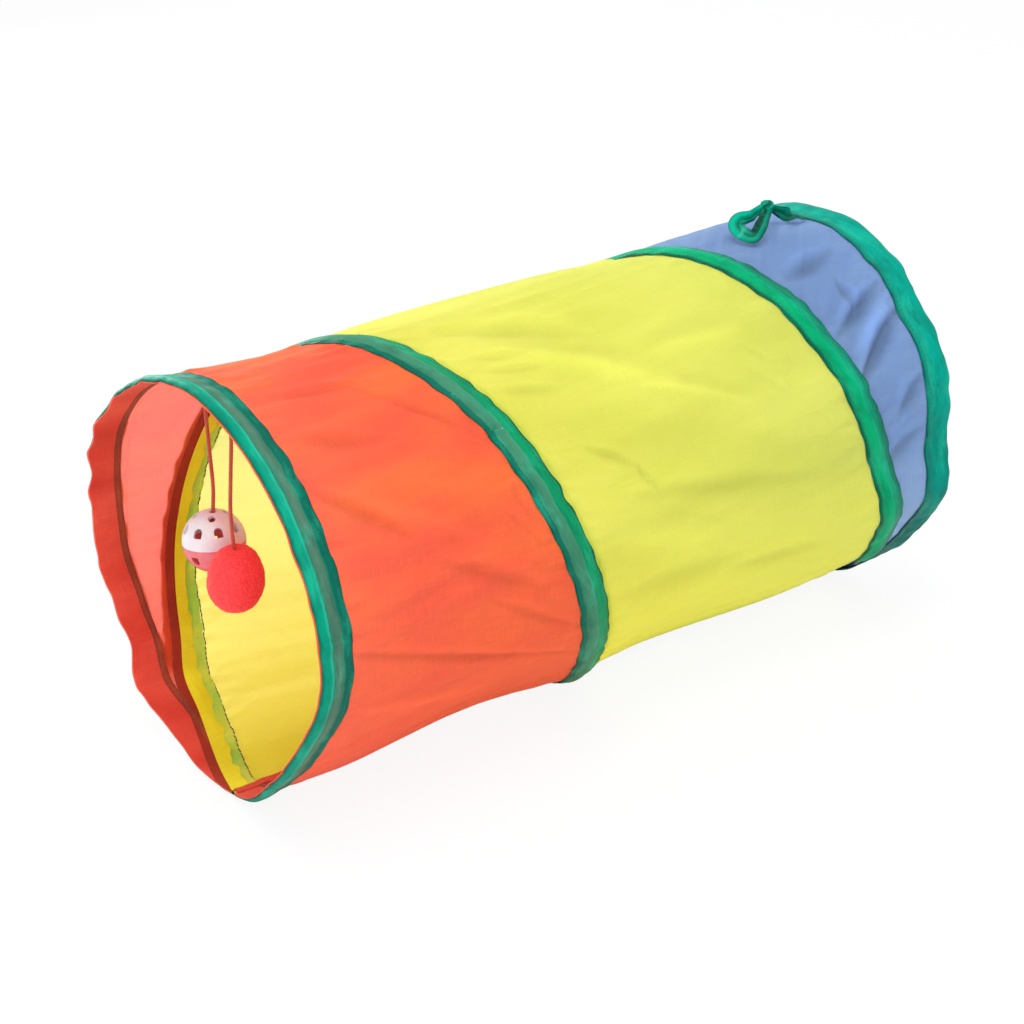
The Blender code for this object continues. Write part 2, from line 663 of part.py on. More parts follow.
def ball_half(name, look, flip):
    """Half shell with a ring of windows. The upper half also has the cord's hole, straight up."""
    outer, inner = BALL_DIAMETER / 2, BALL_DIAMETER / 2 - BALL_WALL
    segments, rings = 24, 6
    points, faces = [], []
    turn = half_turn(flip)

    def shell(radius):
        start = len(points)
        for i in range(rings):
            polar = math.pi / 2 * i / rings
            for k in range(segments):
                a = TURN * (k + 0.5) / segments
                points.append(Vector((radius * math.cos(polar) * math.cos(a),
                                      radius * math.cos(polar) * math.sin(a),
                                      max(radius * math.sin(polar), CLEARANCE / 2))))
        points.append(Vector((0, 0, radius)))
        for k in range(segments):
            n = (k + 1) % segments
            for i in range(rings - 1):
                a = start + i * segments
                faces.append((a + k, a + n, a + segments + n, a + segments + k))
            last = start + (rings - 1) * segments
            faces.append((last + k, last + n, len(points) - 1))
        return start

    first, second = shell(outer), shell(inner)
    for k in range(segments):
        n = (k + 1) % segments
        faces.append((first + k, first + n, second + n, second + k))
    thing = add_mesh(name, [turn @ p for p in points], faces, look, BALL_KNOT)
    cutter = hole_cutter(LOWER_HOLE_LATITUDE if flip else UPPER_HOLE_LATITUDE)
    cut(thing, add_cutter(name + "_windows", cutter, turn))
    if not flip:
        work = bmesh.new()
        bmesh.ops.create_cone(work, cap_ends=True, segments=12, radius1=BALL_CORD_HOLE / 2,
                              radius2=BALL_CORD_HOLE / 2, depth=BALL_DIAMETER / 2)
        upright = Matrix.Translation(BALL_CENTRE + Vector((0, 0, BALL_DIAMETER / 2)))
        cut(thing, add_cutter(name + "_cord_hole", work, upright))


def bell():
    """Round bell with crossed slots below, and the pea that rattles in it."""
    radius = BELL_DIAMETER / 2
    inside = BALL_DIAMETER / 2 - BALL_WALL
    centre = BALL_CENTRE - Vector((0, 0, inside - radius - CLEARANCE))
    outer_points, outer_faces = ball_of_points(8, 16, lambda polar, turn: radius)
    inner_points, inner_faces = ball_of_points(8, 16, lambda polar, turn: radius - BELL_WALL)
    shift = len(outer_points)
    faces = outer_faces + [tuple(shift + i for i in reversed(f)) for f in inner_faces]
    mesh = bpy.data.meshes.new("bell")
    mesh.from_pydata([tuple(p + centre) for p in outer_points + inner_points], [], faces)
    mesh.shade_smooth()
    mesh.set_sharp_from_angle(angle=math.radians(40))
    thing = add_object("bell", mesh, BRASS, centre)
    for name, angle in (("bell_slot_a", 0), ("bell_slot_b", math.pi / 2)):
        work = bmesh.new()
        bmesh.ops.create_cube(work, size=1)
        size = Matrix.Diagonal((BELL_SLOT_SHARE * BELL_DIAMETER, BELL_SLOT, radius, 1))
        low = Matrix.Translation(centre - Vector((0, 0, BELL_SLOT_SHARE * radius)))
        cut(thing, add_cutter(name, work, low @ Matrix.Rotation(angle, 4, "Z") @ size))
    pea = centre - Vector((0, 0, radius - BELL_WALL - PEA_DIAMETER / 2 - CLEARANCE))
    points, faces = ball_of_points(6, 10, lambda polar, turn: PEA_DIAMETER / 2)
    add_mesh("bell_pea", [p + pea for p in points], faces, STEEL, pea)


def pompom():
    """Oval pompom with soft lumps, and a dimple on top where the cord goes in."""
    half_width, half_height = POMPOM_WIDTH / 2, POMPOM_HEIGHT / 2

    def radius_at(polar, turn):
        oval = 1 / math.hypot(math.sin(polar) / half_width, math.cos(polar) / half_height)
        lump = POMPOM_LUMP * math.sin(5 * turn + 2 * math.sin(3 * polar)) * math.sin(polar)
        dimple = POMPOM_DIMPLE * math.exp(-(polar / POMPOM_DIMPLE_ANGLE) ** 2)
        return oval + lump - dimple

    points, faces = ball_of_points(14, 22, radius_at)
    add_mesh("pompom", [p + POMPOM_CENTRE for p in points], faces, PLUSH, POMPOM_KNOT, sharp=80)


# The ribbon tie
def tie_point(from_tape, off_top, height):
    """Point above the cloth near the tie, from millimetres and degrees."""
    inset = RIM_SHOW + TAPE_WIDTH + from_tape * MM
    return place(math.pi + math.radians(off_top), HALF - inset, height * MM)


def band(name, line, widths, thickness, look, pivot):
    """Flat ribbon along a line of (point, direction of its width)."""
    sections = []
    count = len(line)
    for k, (point, wide) in enumerate(line):
        before, after = line[max(k - 1, 0)][0], line[min(k + 1, count - 1)][0]
        along = (after - before).normalized()
        wide = (wide - wide.dot(along) * along).normalized()
        up = along.cross(wide)
        w, t = wide * widths[k] / 2, up * thickness / 2
        sections.append([point - w - t, point + w - t, point + w + t, point - w + t])
    loft(name, sections, look, pivot=pivot)


def tie():
    """Ribbon sewn at the tape's edge, tied in a knot that stands up, with a loop beyond it."""
    rest = RIBBON_THICKNESS / 2 + CLEARANCE
    pivot = tie_point(TIE_ROOT_GAP / MM, TIE_OFF_TOP, rest / MM)
    knot = tie_point(*TIE_KNOT_PLACE)
    strap = [pivot] + [tie_point(*point) for point in STRAP_RISE]
    gap = TIE_KNOT_SIZE / 2 + CLEARANCE
    strap.append(knot + (strap[-1] - knot).normalized() * gap)
    side = Vector((0, 1, 0))
    faced = [side, side, side, Vector(STRAP_LEAN)]
    band("tie_strap", list(zip(strap, faced)), STRAP_WIDTHS, RIBBON_THICKNESS, GREEN, pivot)

    def wrapped(polar, turn):
        fold = math.cos(2 * turn + 3 * polar) * math.sin(polar)
        return TIE_KNOT_SIZE / 2 * (1 + TIE_KNOT_FOLD * (fold - 1))

    points, faces = ball_of_points(10, 14, wrapped)
    squash = Matrix.Diagonal((TIE_KNOT_LENGTH / TIE_KNOT_SIZE, 1, 1, 1))
    add_mesh("tie_knot", [squash @ p + knot for p in points], faces, GREEN, pivot, sharp=80)

    outline = [knot + Vector(LOOP_LEAVES).normalized() * gap]
    outline += [tie_point(*point) for point in LOOP_LINE]
    outline.append(knot + Vector(LOOP_RETURNS).normalized() * gap)
    route = smooth_route(outline, LOOP_STEP)
    widths = [LOOP_WIDTH] * len(route)
    band("tie_loop", [(p, Vector(LOOP_FACING)) for p in route], widths, RIBBON_THICKNESS, GREEN, pivot)


def build():
    for old in list(bpy.data.objects):
        bpy.data.objects.remove(old, do_unlink=True)
    hoop_wire("front_hoop_wire", FRONT)
    spiral_wire()
    hoop_wire("back_hoop_wire", BACK)
    sleeve("front_sleeve", FRONT)
    sleeve("back_sleeve", BACK)
    end_tape("front_binding", FRONT)
    spiral_tape()
    end_tape("back_binding", BACK)
    panels()
    bottom_seam()
    cord_knot("ball_cord_knot", BALL_KNOT, BALL_KNOT)
    cord_knot("pompom_cord_knot", POMPOM_KNOT, POMPOM_KNOT)
    cords()
    ball_half("ball_upper_half", WHITE, flip=False)
    ball_half("ball_lower_half", PINK, flip=True)
    below_end = Vector((0, 0, CLEARANCE + KNOT_DIAMETER / 2))
    cord_knot("ball_stop_knot", BALL_CORD_END - below_end, BALL_KNOT)
    bell()
    pompom()
    tie()


build()
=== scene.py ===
# %% [markdown]
# # A pop-up cat tunnel
# This lesson dresses a tunnel for cats. One springy steel wire holds it open: a hoop at each end and
# two turns of a helix between them. Thin red, yellow and blue cloth is stretched over the wire, green
# satin tape is sewn over every turn, and two toys hang on cords inside the front opening.
#
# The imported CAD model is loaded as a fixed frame, so each new piece is made in metres, right where
# the real one is.

# %% Load the frame
import math
from functools import partial

import bpy
import numpy as np
from mathutils import Matrix, Quaternion, Vector


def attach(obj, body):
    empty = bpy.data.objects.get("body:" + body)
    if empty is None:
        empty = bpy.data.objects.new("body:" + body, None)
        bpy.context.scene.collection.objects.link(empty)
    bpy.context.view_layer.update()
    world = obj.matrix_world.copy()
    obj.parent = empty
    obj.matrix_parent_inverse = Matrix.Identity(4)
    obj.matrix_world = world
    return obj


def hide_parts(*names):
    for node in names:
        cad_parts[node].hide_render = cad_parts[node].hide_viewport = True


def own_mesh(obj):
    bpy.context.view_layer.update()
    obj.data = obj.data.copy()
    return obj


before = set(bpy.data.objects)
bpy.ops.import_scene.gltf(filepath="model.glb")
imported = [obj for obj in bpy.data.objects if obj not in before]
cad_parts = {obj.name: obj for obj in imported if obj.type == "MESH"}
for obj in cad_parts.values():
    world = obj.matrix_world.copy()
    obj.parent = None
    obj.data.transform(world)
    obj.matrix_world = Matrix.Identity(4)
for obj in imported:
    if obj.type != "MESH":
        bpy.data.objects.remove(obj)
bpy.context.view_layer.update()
MM = 0.001
TURN = 2 * math.pi

# %% [markdown]
# ## The camera
# The photograph looks at the front opening from the left and from a little above. The camera's place
# was found by matching the edges of the four tapes. It leans a quarter of a degree, and its lens is
# long, so the far hoop looks almost as large as the near one.

# %% Camera
AIM = Vector((-0.0188, 0.0039, 0.1116))
CAMERA_AZIMUTH = math.radians(52.231)
CAMERA_ELEVATION = math.radians(25.986)
CAMERA_DISTANCE = 1.5135
CAMERA_ROLL = math.radians(0.259)
LENS = 83.31
SENSOR_WIDTH = 36

bpy.ops.object.select_all(action="DESELECT")
bpy.ops.object.camera_add()
camera = bpy.context.object
camera.name = "photo_camera"
camera.data.lens = LENS
camera.data.sensor_width = SENSOR_WIDTH
away = Vector((-math.cos(CAMERA_ELEVATION) * math.cos(CAMERA_AZIMUTH),
               -math.cos(CAMERA_ELEVATION) * math.sin(CAMERA_AZIMUTH), math.sin(CAMERA_ELEVATION)))
camera.location = AIM + away * CAMERA_DISTANCE
facing = (-away).to_track_quat("-Z", "Y") @ Quaternion((0, 0, 1), CAMERA_ROLL)
camera.rotation_euler = facing.to_euler()
bpy.context.scene.camera = camera
print("camera stands at", tuple(round(v, 4) for v in camera.location))

# %% [markdown]
# ## Small helpers
# Cloth has no straight lines, so nearly all of it is described by soft steps and soft humps of an
# angle or a length. The other helpers here run Blender's own mesh operators on one piece at a time.

# %% Helpers
def wrap(angle):
    """Angle brought into the half turn on each side of zero."""
    return (angle + math.pi) % TURN - math.pi


def soften(value):
    """Smooth step from 0 to 1."""
    value = np.clip(value, 0, 1)
    return value * value * (3 - 2 * value)


def bell(offset, reach):
    """Smooth hump of height one, about reach wide on each side."""
    return np.exp(-(offset / reach) ** 2)


def level(value):
    """The same value at every angle."""
    return lambda angle: value + 0 * angle


def unit(rows):
    """Rows of vectors, each brought to length one."""
    return rows / np.linalg.norm(rows, axis=1)[:, None]


def run_along(line):
    """How far along a line each of its points lies, in metres."""
    return np.concatenate([[0], np.cumsum(np.linalg.norm(np.diff(line, axis=0), axis=1))])


def only(piece):
    """Select one object and make it the one that operators work on."""
    if bpy.context.mode != "OBJECT":
        bpy.ops.object.mode_set(mode="OBJECT")
    bpy.ops.object.select_all(action="DESELECT")
    piece.select_set(True)
    bpy.context.view_layer.objects.active = piece
    return piece


def edit(piece, *steps):
    """Run mesh operators on all of a piece."""
    only(piece)
    bpy.ops.object.mode_set(mode="EDIT")
    bpy.ops.mesh.select_all(action="SELECT")
    for step in steps:
        step()
    bpy.ops.object.mode_set(mode="OBJECT")
    return piece


def close_up(piece, threshold=1e-7, cap=True, outward=True):
    """Weld the edges of a grid that meets itself, close its ends and turn its faces outwards."""
    steps = [lambda: bpy.ops.mesh.remove_doubles(threshold=threshold)]
    if cap:
        steps.append(lambda: bpy.ops.mesh.fill_holes(sides=0))
    if outward:
        steps.append(lambda: bpy.ops.mesh.normals_make_consistent(inside=False))
    edit(piece, *steps)


def smooth(piece, degrees):
    """Shade a piece smooth except at edges sharper than some degrees."""
    only(piece)
    bpy.ops.object.shade_smooth_by_angle(angle=math.radians(degrees))


def primitive(operator, name=None, **settings):
    """Add one of Blender's primitives and return it."""
    bpy.ops.object.select_all(action="DESELECT")
    operator(**settings)
    piece = bpy.context.object
    if name:
        piece.name = piece.data.name = name
    return piece


def corners_of(piece):
    return np.array([vertex.co for vertex in piece.data.vertices])


def add_modifier(piece, kind, **settings):
    """Add a modifier, set it and apply it."""
    only(piece)
    modifier = piece.modifiers.new(kind.lower(), kind)
    for key, value in settings.items():
        setattr(modifier, key, value)
    bpy.ops.object.modifier_apply(modifier=modifier.name)
    return piece


print("a quarter of the way up a soft step", soften(0.25))

# %% [markdown]
# ## Noise that looks sewn
# Folds and wavy edges are never regular, so they are sums of a few sine waves with seeded random
# lengths and directions. A seed gives the same cloth in each run. One kind lies on a sheet, and the
# other runs round a hoop and meets itself without a step.

# %% Noise
def waves(first, second, sizes, seed, count=20):
    """Smooth seeded noise of about unit height from two measures in metres. Sizes are its typical
    lengths along each of them."""
    rng = np.random.default_rng(seed)
    total = np.zeros(np.broadcast(first, second).shape)
    for _ in range(count):
        k = rng.normal(0, 0.5, 2) / np.array(sizes) + np.sign(rng.normal(size=2)) * 0.35 / np.array(sizes)
        total += np.sin(TURN * (k[0] * first + k[1] * second) + rng.uniform(0, TURN))
    return total / math.sqrt(count / 2)


def ring_waves(angle, size, seed, count=16):
    """The same kind of noise round a ring that meets itself: only whole numbers of waves in a turn."""
    rng = np.random.default_rng(seed)
    total = 0
    for _ in range(count):
        lobes = max(1, round(0.78 / size * rng.uniform(0.55, 1.5)))
        total = total + np.cos(lobes * angle + rng.uniform(0, TURN))
    return total / math.sqrt(count / 2)


print("noise has a spread of", waves(np.linspace(0, 1, 999), 0, (0.02, 1), 1).std().round(2))

# %% [markdown]
# ## Pieces from grids
# Every cloth part here starts as a flat grid. A grid has two natural directions, u and v, from 0 to
# 1, and a function says where each (u, v) lies in space. The measure in metres becomes the UV map,
# so that a weave drawn on it keeps its true size however the cloth is bent.

# %% Grid pieces
def grid_piece(name, columns, rows, shape, measure, marks=None):
    """A grid primitive whose vertices are moved to shape(u, v), with a UV map in metres. marks gives
    further numbers for each point, which the materials read."""
    piece = primitive(bpy.ops.mesh.primitive_grid_add, name, x_subdivisions=columns, y_subdivisions=rows,
                      size=2)
    mesh = piece.data
    flat = np.empty(len(mesh.vertices) * 3)
    mesh.vertices.foreach_get("co", flat)
    u, v = (flat.reshape(-1, 3)[:, :2].T + 1) / 2
    mesh.vertices.foreach_set("co", shape(u, v).ravel())
    corners = np.empty(len(mesh.loops), int)
    mesh.loops.foreach_get("vertex_index", corners)
    metres = np.stack(measure(u, v), -1)
    mesh.uv_layers[0].data.foreach_set("uv", metres[corners].ravel())
    for key, value in (marks(u, v) if marks else {}).items():
        mark = mesh.attributes.new(key, "FLOAT", "POINT")
        mark.data.foreach_set("value", value)
    mesh.update()
    return piece


def report(piece):
    print(piece.name, len(piece.data.polygons), "faces,", np.ptp(corners_of(piece), 0).round(4), "m")
    return piece


# %% [markdown]
# ## Where the cords hang
# Two round cords hang from knots in the cloth above the front opening. Each one follows listed
# points, with small sideways bows, because a light cord never hangs quite straight.

# %% Cord routes
CORD_DIAMETER = 2.4 * MM
CORD_ROUND = 7.5 * MM
STRANDS = 3
LAY_LENGTH = 7 * MM
CORD_STEP = 0.6 * MM
BALL_KNOT = Vector((-0.227, 0.021486, 0.248833))
BALL_CENTRE = BALL_KNOT - Vector((0, 0, 0.1013))
POMPOM_KNOT = Vector((-0.2365, -0.017472, 0.25062))
POMPOM_CENTRE = POMPOM_KNOT - Vector((0, 0, 0.1093))
BELOW_KNOT = Vector((0, 0, 0.0014))
BALL_CORD_END = BALL_CENTRE + Vector((0, 0, 0.0154))
POMPOM_CORD_END = POMPOM_CENTRE + Vector((0, 0, 0.019))
BALL_BOWS = [(0.15, -0.6, 0.5), (0.45, 0.1, 0.0), (0.75, 0.9, -0.7), (0.9, 0.5, -0.4)]
POMPOM_BOWS = [(0.2, 1.2, -1.0), (0.45, 0.3, -0.2), (0.7, -0.7, 0.6), (0.88, -0.5, 0.4)]


def hanging_route(top, bottom, bows):
    """Points from top to bottom with listed bows: share of the way, millimetres along X and Y."""
    route = [top]
    for share, dx, dy in bows:
        route.append(top.lerp(bottom, share) + Vector((dx, dy, 0)) * MM)
    return route + [bottom]


def smooth_line(points, step):
    """Evenly spaced points on a smooth curve through the given ones."""
    points = [Vector(p) for p in points]
    ends = [2 * points[0] - points[1]] + points + [2 * points[-1] - points[-2]]
    fine = []
    for a, b, c, d in zip(ends, ends[1:], ends[2:], ends[3:]):
        for k in range(24):
            t = k / 24
            fine.append(0.5 * (2 * b + (c - a) * t + (2 * a - 5 * b + 4 * c - d) * t ** 2
                               + (3 * b - a - 3 * c + d) * t ** 3))
    fine = np.array(fine + [points[-1]])
    run = run_along(fine)
    count = max(4, round(run[-1] / step)) + 1
    even = np.linspace(0, run[-1], count)
    return np.stack([np.interp(even, run, fine[:, k]) for k in range(3)], -1), run[-1]


print("from knot to ball", round((BALL_KNOT - BALL_CORD_END).length, 4), "m")

# %% [markdown]
# ## The twisted cords
# A cord is a tube along its line, and so are the wires further on. The section is carried along
# without twist. The cord's own lay, three strands laid round each other, is then a slow twist of a
# three-lobed radius, which is much lighter than three separate strands.

# %% Cords
def frames_along(line, up):
    """Unit directions along a line, across it and out of it, carried on without twist."""
    along = unit(np.gradient(line, axis=0))
    out = np.empty_like(line)
    last = np.array(up, float)
    for k, direction in enumerate(along):
        last = last - last.dot(direction) * direction
        last /= np.linalg.norm(last)
        out[k] = last
    return along, np.cross(out, along), out


def tube_piece(name, line, radius, sides, up=(1, 0, 0), cap=True):
    """Tube whose radius may depend on the turn round it (0 to one turn) and the metres along it."""
    along, across, out = frames_along(line, up)
    run = run_along(line)
    last = len(line) - 1

    def shape(u, v):
        k = np.rint(u * last).astype(int)
        turn = TURN * v
        r = radius(turn, run[k]) if callable(radius) else radius
        return line[k] + (out[k] * (np.cos(turn) * r)[:, None] + across[k] * (np.sin(turn) * r)[:, None])

    def measure(u, v):
        return run[np.rint(u * last).astype(int)], v * CORD_ROUND

    piece = grid_piece(name, last, sides, shape, measure)
    close_up(piece, cap=cap)
    smooth(piece, 60)
    return piece


def twisted(turn, metres):
    """Three strands laid round each other."""
    lay = STRANDS * (turn - TURN * metres / LAY_LENGTH)
    return CORD_DIAMETER / 2 * (1 - 0.16 * np.abs(np.sin(lay / 2)) ** 3)


def cord_piece(name, node, top, bottom, bows):
    route = hanging_route(top, bottom, bows)
    line, length = smooth_line(route, CORD_STEP)
    cord = tube_piece(name, line, twisted, sides=24)
    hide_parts(node)
    print(name, "is", round(length * 1000, 1), "mm long")
    return cord


ball_string = cord_piece("ball_string", "ball_cord", BALL_KNOT - BELOW_KNOT, BALL_CORD_END, BALL_BOWS)
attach(ball_string, "ball")
pompom_string = cord_piece("pompom_string", "pompom_cord", POMPOM_KNOT - BELOW_KNOT, POMPOM_CORD_END,
                           POMPOM_BOWS)
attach(pompom_string, "pompom")

# %% [markdown]
# ## The shape of the tunnel
# A wire helix would hold a true tube, but this wire is thin, so each hoop is a little out of round.
# One function gives the radius of the cloth at any angle and any place along the tunnel. All cloth and
# tape use it, so they fit each other everywhere. The angle starts at the floor and crosses the top at
# half a turn. Bends are sums of a few lobes round the hoop, and single knocks are soft humps.

# %% Shape of the tunnel
HALF = 0.252
LENGTH = 2 * HALF
PITCH = LENGTH / 2
CLOTH_RADIUS = 0.124
COVER_HEIGHT = 3.65 * MM
SOLE_CUT = 0.35 * MM
# Bends of the front, middle and back of the frame, in millimetres, for two to five lobes round it
FRONT_BENDS = [(2.4, 0.0), (2.7, 0.9), (1.1, -0.9), (2.4, -1.1)]
MIDDLE_BENDS = [(-1.2, 0.3), (0.6, -0.1), (-1.0, -1.0), (1.8, -1.6)]
BACK_BENDS = [(0.6, -1.1), (-1.1, 1.4), (0.9, -0.5), (-0.8, 1.5)]
FRONT_SWAYS = [(1.4, 1.5), (0.6, 1.2), (1.1, -1.3), (1.1, 0.1)]
BACK_SWAYS = [(1.4, -0.6), (-0.4, -0.6), (0.0, 0.3), (-0.1, -0.4)]
RIM_REACH = 5 * MM     # how far the short waves of an open rim reach into the tunnel
# Single knocks in the two hoops: degrees round the tunnel, width in degrees, millimetres outwards
FRONT_KNOCKS = [(36, 8, 4.0), (312, 12, 4.0)]
BACK_KNOCKS = [(190, 9, 1.6), (212, 7, 3.6), (238, 8, 3.2), (267, 9, -4.4), (285, 7, 3.0),
               (307, 15, -5.8), (325, 10, -4.6)]
FRONT_PULLS = [(36, 8, -5.6), (77, 9, -3.2), (120, 9, -2.6)]      # the same, but along the tunnel
# Two dips seen at the top left: radians round, its reach, metres along, its reach, depth
TOP_DIPS = [(2.58, 0.2, -0.165, 0.06, 5.0 * MM), (2.62, 0.2, 0.104, 0.03, 2.5 * MM)]
TOP_STILL = 0.42          # radians beside the top and the floor where the bends fade out
FLOOR_STILL = 0.35
JOIN_EARLY = 9.5 * MM     # how far the cloth's joint runs ahead of the wire, and over what angle
JOIN_ANGLE = math.radians(70)


def cloth_radius(angle, x):
    front = ((HALF - x) / LENGTH) ** 2
    back = ((HALF + x) / LENGTH) ** 2
    lobes = 0.8 * MM * np.cos(3 * angle) + 2.2 * MM * np.cos(4 * angle)
    return CLOTH_RADIUS + front * lobes + back * 2.5 * MM * np.cos(2 * angle)


def lobes_of(angle, bends):
    total = 0
    for k, (even, odd) in enumerate(bends, start=2):
        total = total + MM * (even * np.cos(k * angle) + odd * np.sin(k * angle))
    return total


def knocks(angle, places):
    total = 0
    for degrees, width, size in places:
        total = total + size * MM * bell(wrap(angle - math.radians(degrees)), math.radians(width))
    return total


print("cloth radius at the top", cloth_radius(math.pi, np.array([-HALF, 0, HALF])).round(4))

# %% [markdown]
# ## A point on the tunnel
# This function turns an angle, a place along the tunnel and a height above the cloth into a point.
# It adds the bends of the frame, the knocks in the hoops and the flutter of the rims. Near the
# floor and at the very top they fade out, so that the tunnel rests flat and the toys keep their
# place.

# %% Place on the tunnel
def place(angle, x, height):
    """Points at an angle round the tunnel, at x along it, at a height above the cloth."""
    angle, x, height = np.broadcast_arrays(angle, x, height)
    share = np.clip((x + HALF) / LENGTH, 0, 1)
    front = soften(1 - share / 0.4)
    back = soften((share - 0.55) / 0.45)
    free = (1 - bell(wrap(angle - math.pi), TOP_STILL)) * (1 - bell(wrap(angle), FLOOR_STILL))
    bend = free * (front * lobes_of(angle, FRONT_BENDS) + back * lobes_of(angle, BACK_BENDS)
                   + (1 - front - back) * lobes_of(angle, MIDDLE_BENDS))
    sway = free * (front * lobes_of(angle, FRONT_SWAYS) + back * lobes_of(angle, BACK_SWAYS))
    bend = bend + front * knocks(angle, FRONT_KNOCKS) + back * knocks(angle, BACK_KNOCKS)
    sway = sway + np.exp(-(HALF + x) / 0.03) * knocks(angle, FRONT_PULLS)
    for around, around_reach, along, along_reach, depth in TOP_DIPS:
        bend = bend - depth * bell(x - along, along_reach) * bell(wrap(angle - around), around_reach)
    reach = RIM_REACH * (1 + 1.6 * (x < 0) * knocks(angle, [(43, 26, 1)]) / MM)
    rim = np.exp(-(HALF - np.abs(x)) / reach)
    side = np.where(x < 0, 0.25 + 0.75 * soften(0.5 + 2 * np.sin(angle)), 0.75)
    flutter = 0.8 * MM * ring_waves(angle, 0.034, 11) + 0.3 * MM * ring_waves(angle, 0.016, 12)
    flutter = free * rim * side * flutter
    nod = free * rim * side * 0.7 * MM * ring_waves(angle, 0.04, 13)
    radius = cloth_radius(angle, x) + bend + flutter + height
    axis = cloth_radius(0, x) + COVER_HEIGHT - SOLE_CUT
    up = np.maximum(axis - radius * np.cos(angle), 0)
    return np.stack([x + sway + nod, radius * np.sin(angle), up], -1)


def helix_x(angle):
    return -HALF + PITCH * angle / TURN


def join_x(angle):
    """Where two panels meet under the coil's tape. The joint leaves the front rim at the bottom seam, a
    little before the wire does, and comes back to the back rim in the same way."""
    early = JOIN_EARLY * soften((JOIN_ANGLE - angle) / JOIN_ANGLE)
    late = JOIN_EARLY * soften((JOIN_ANGLE - (2 * TURN - angle)) / JOIN_ANGLE)
    return np.clip(helix_x(angle) + early - late, -HALF, HALF)


print("axis height at the front", place(math.pi / 2, -HALF, 0).round(4))

# %% [markdown]
# ## Cutting a piece where the tunnel folds
# When the tunnel is pushed together, its two end tapes stay as they are, and all that lies between
# them is pressed flat. A piece that crosses both parts is cut at the inner edges of the end tapes. The
# end parts ride on their hoops, and the middle part rides on the front hoop with a mesh of its own.

# %% Cutting and riding
FOLD_FROM = -0.2302
FOLD_TO = 0.2302
SPANS = {"front_end": (None, FOLD_FROM), "middle": (FOLD_FROM, FOLD_TO), "back_end": (FOLD_TO, None)}


def trimmed(piece, name, low, high, fill):
    """A copy of a piece with what lies outside low and high along X cut away."""
    only(piece)
    bpy.ops.object.duplicate()
    copy = bpy.context.object
    copy.name = copy.data.name = name
    for limit, side in ((low, "inner"), (high, "outer")):
        if limit is not None:
            edit(copy, lambda: bpy.ops.mesh.bisect(
                plane_co=(limit, 0, 0), plane_no=(1, 0, 0), clear_inner=side == "inner",
                clear_outer=side == "outer", use_fill=fill))
    return copy


def cut_parts(piece, stem=None, fill=False):
    """Parts of a piece with their bodies, cut where the tunnel folds. Empty parts are left out."""
    parts = []
    for body, (low, high) in SPANS.items():
        part = trimmed(piece, (stem or piece.name) + "_" + body.split("_")[0], low, high, fill)
        if len(part.data.polygons) == 0:
            bpy.data.objects.remove(part, do_unlink=True)
            continue
        parts.append((part, body))
    bpy.data.objects.remove(piece, do_unlink=True)
    return parts


def settle(piece, body):
    """Let a piece ride on its body. The middle gets a mesh of its own and rides on the front."""
    if body == "middle":
        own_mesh(piece)
        body = "front_end"
    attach(piece, body)


def finish_cloth(piece, wall, body):
    """Give a sheet its wall, towards the inside of the tunnel, and let it ride on its body."""
    add_modifier(piece, "SOLIDIFY", thickness=wall, offset=-1, use_even_offset=False)
    smooth(piece, 70)
    settle(piece, body)
    return report(piece)


# %% [markdown]
# ## A helper for materials
# Blender draws a finish as a tree of nodes. This small class adds nodes and joins them up in one line
# each, so that every finish below reads like a recipe. All patterns are noises and waves with a size
# in metres, so that threads stay as fine as threads.

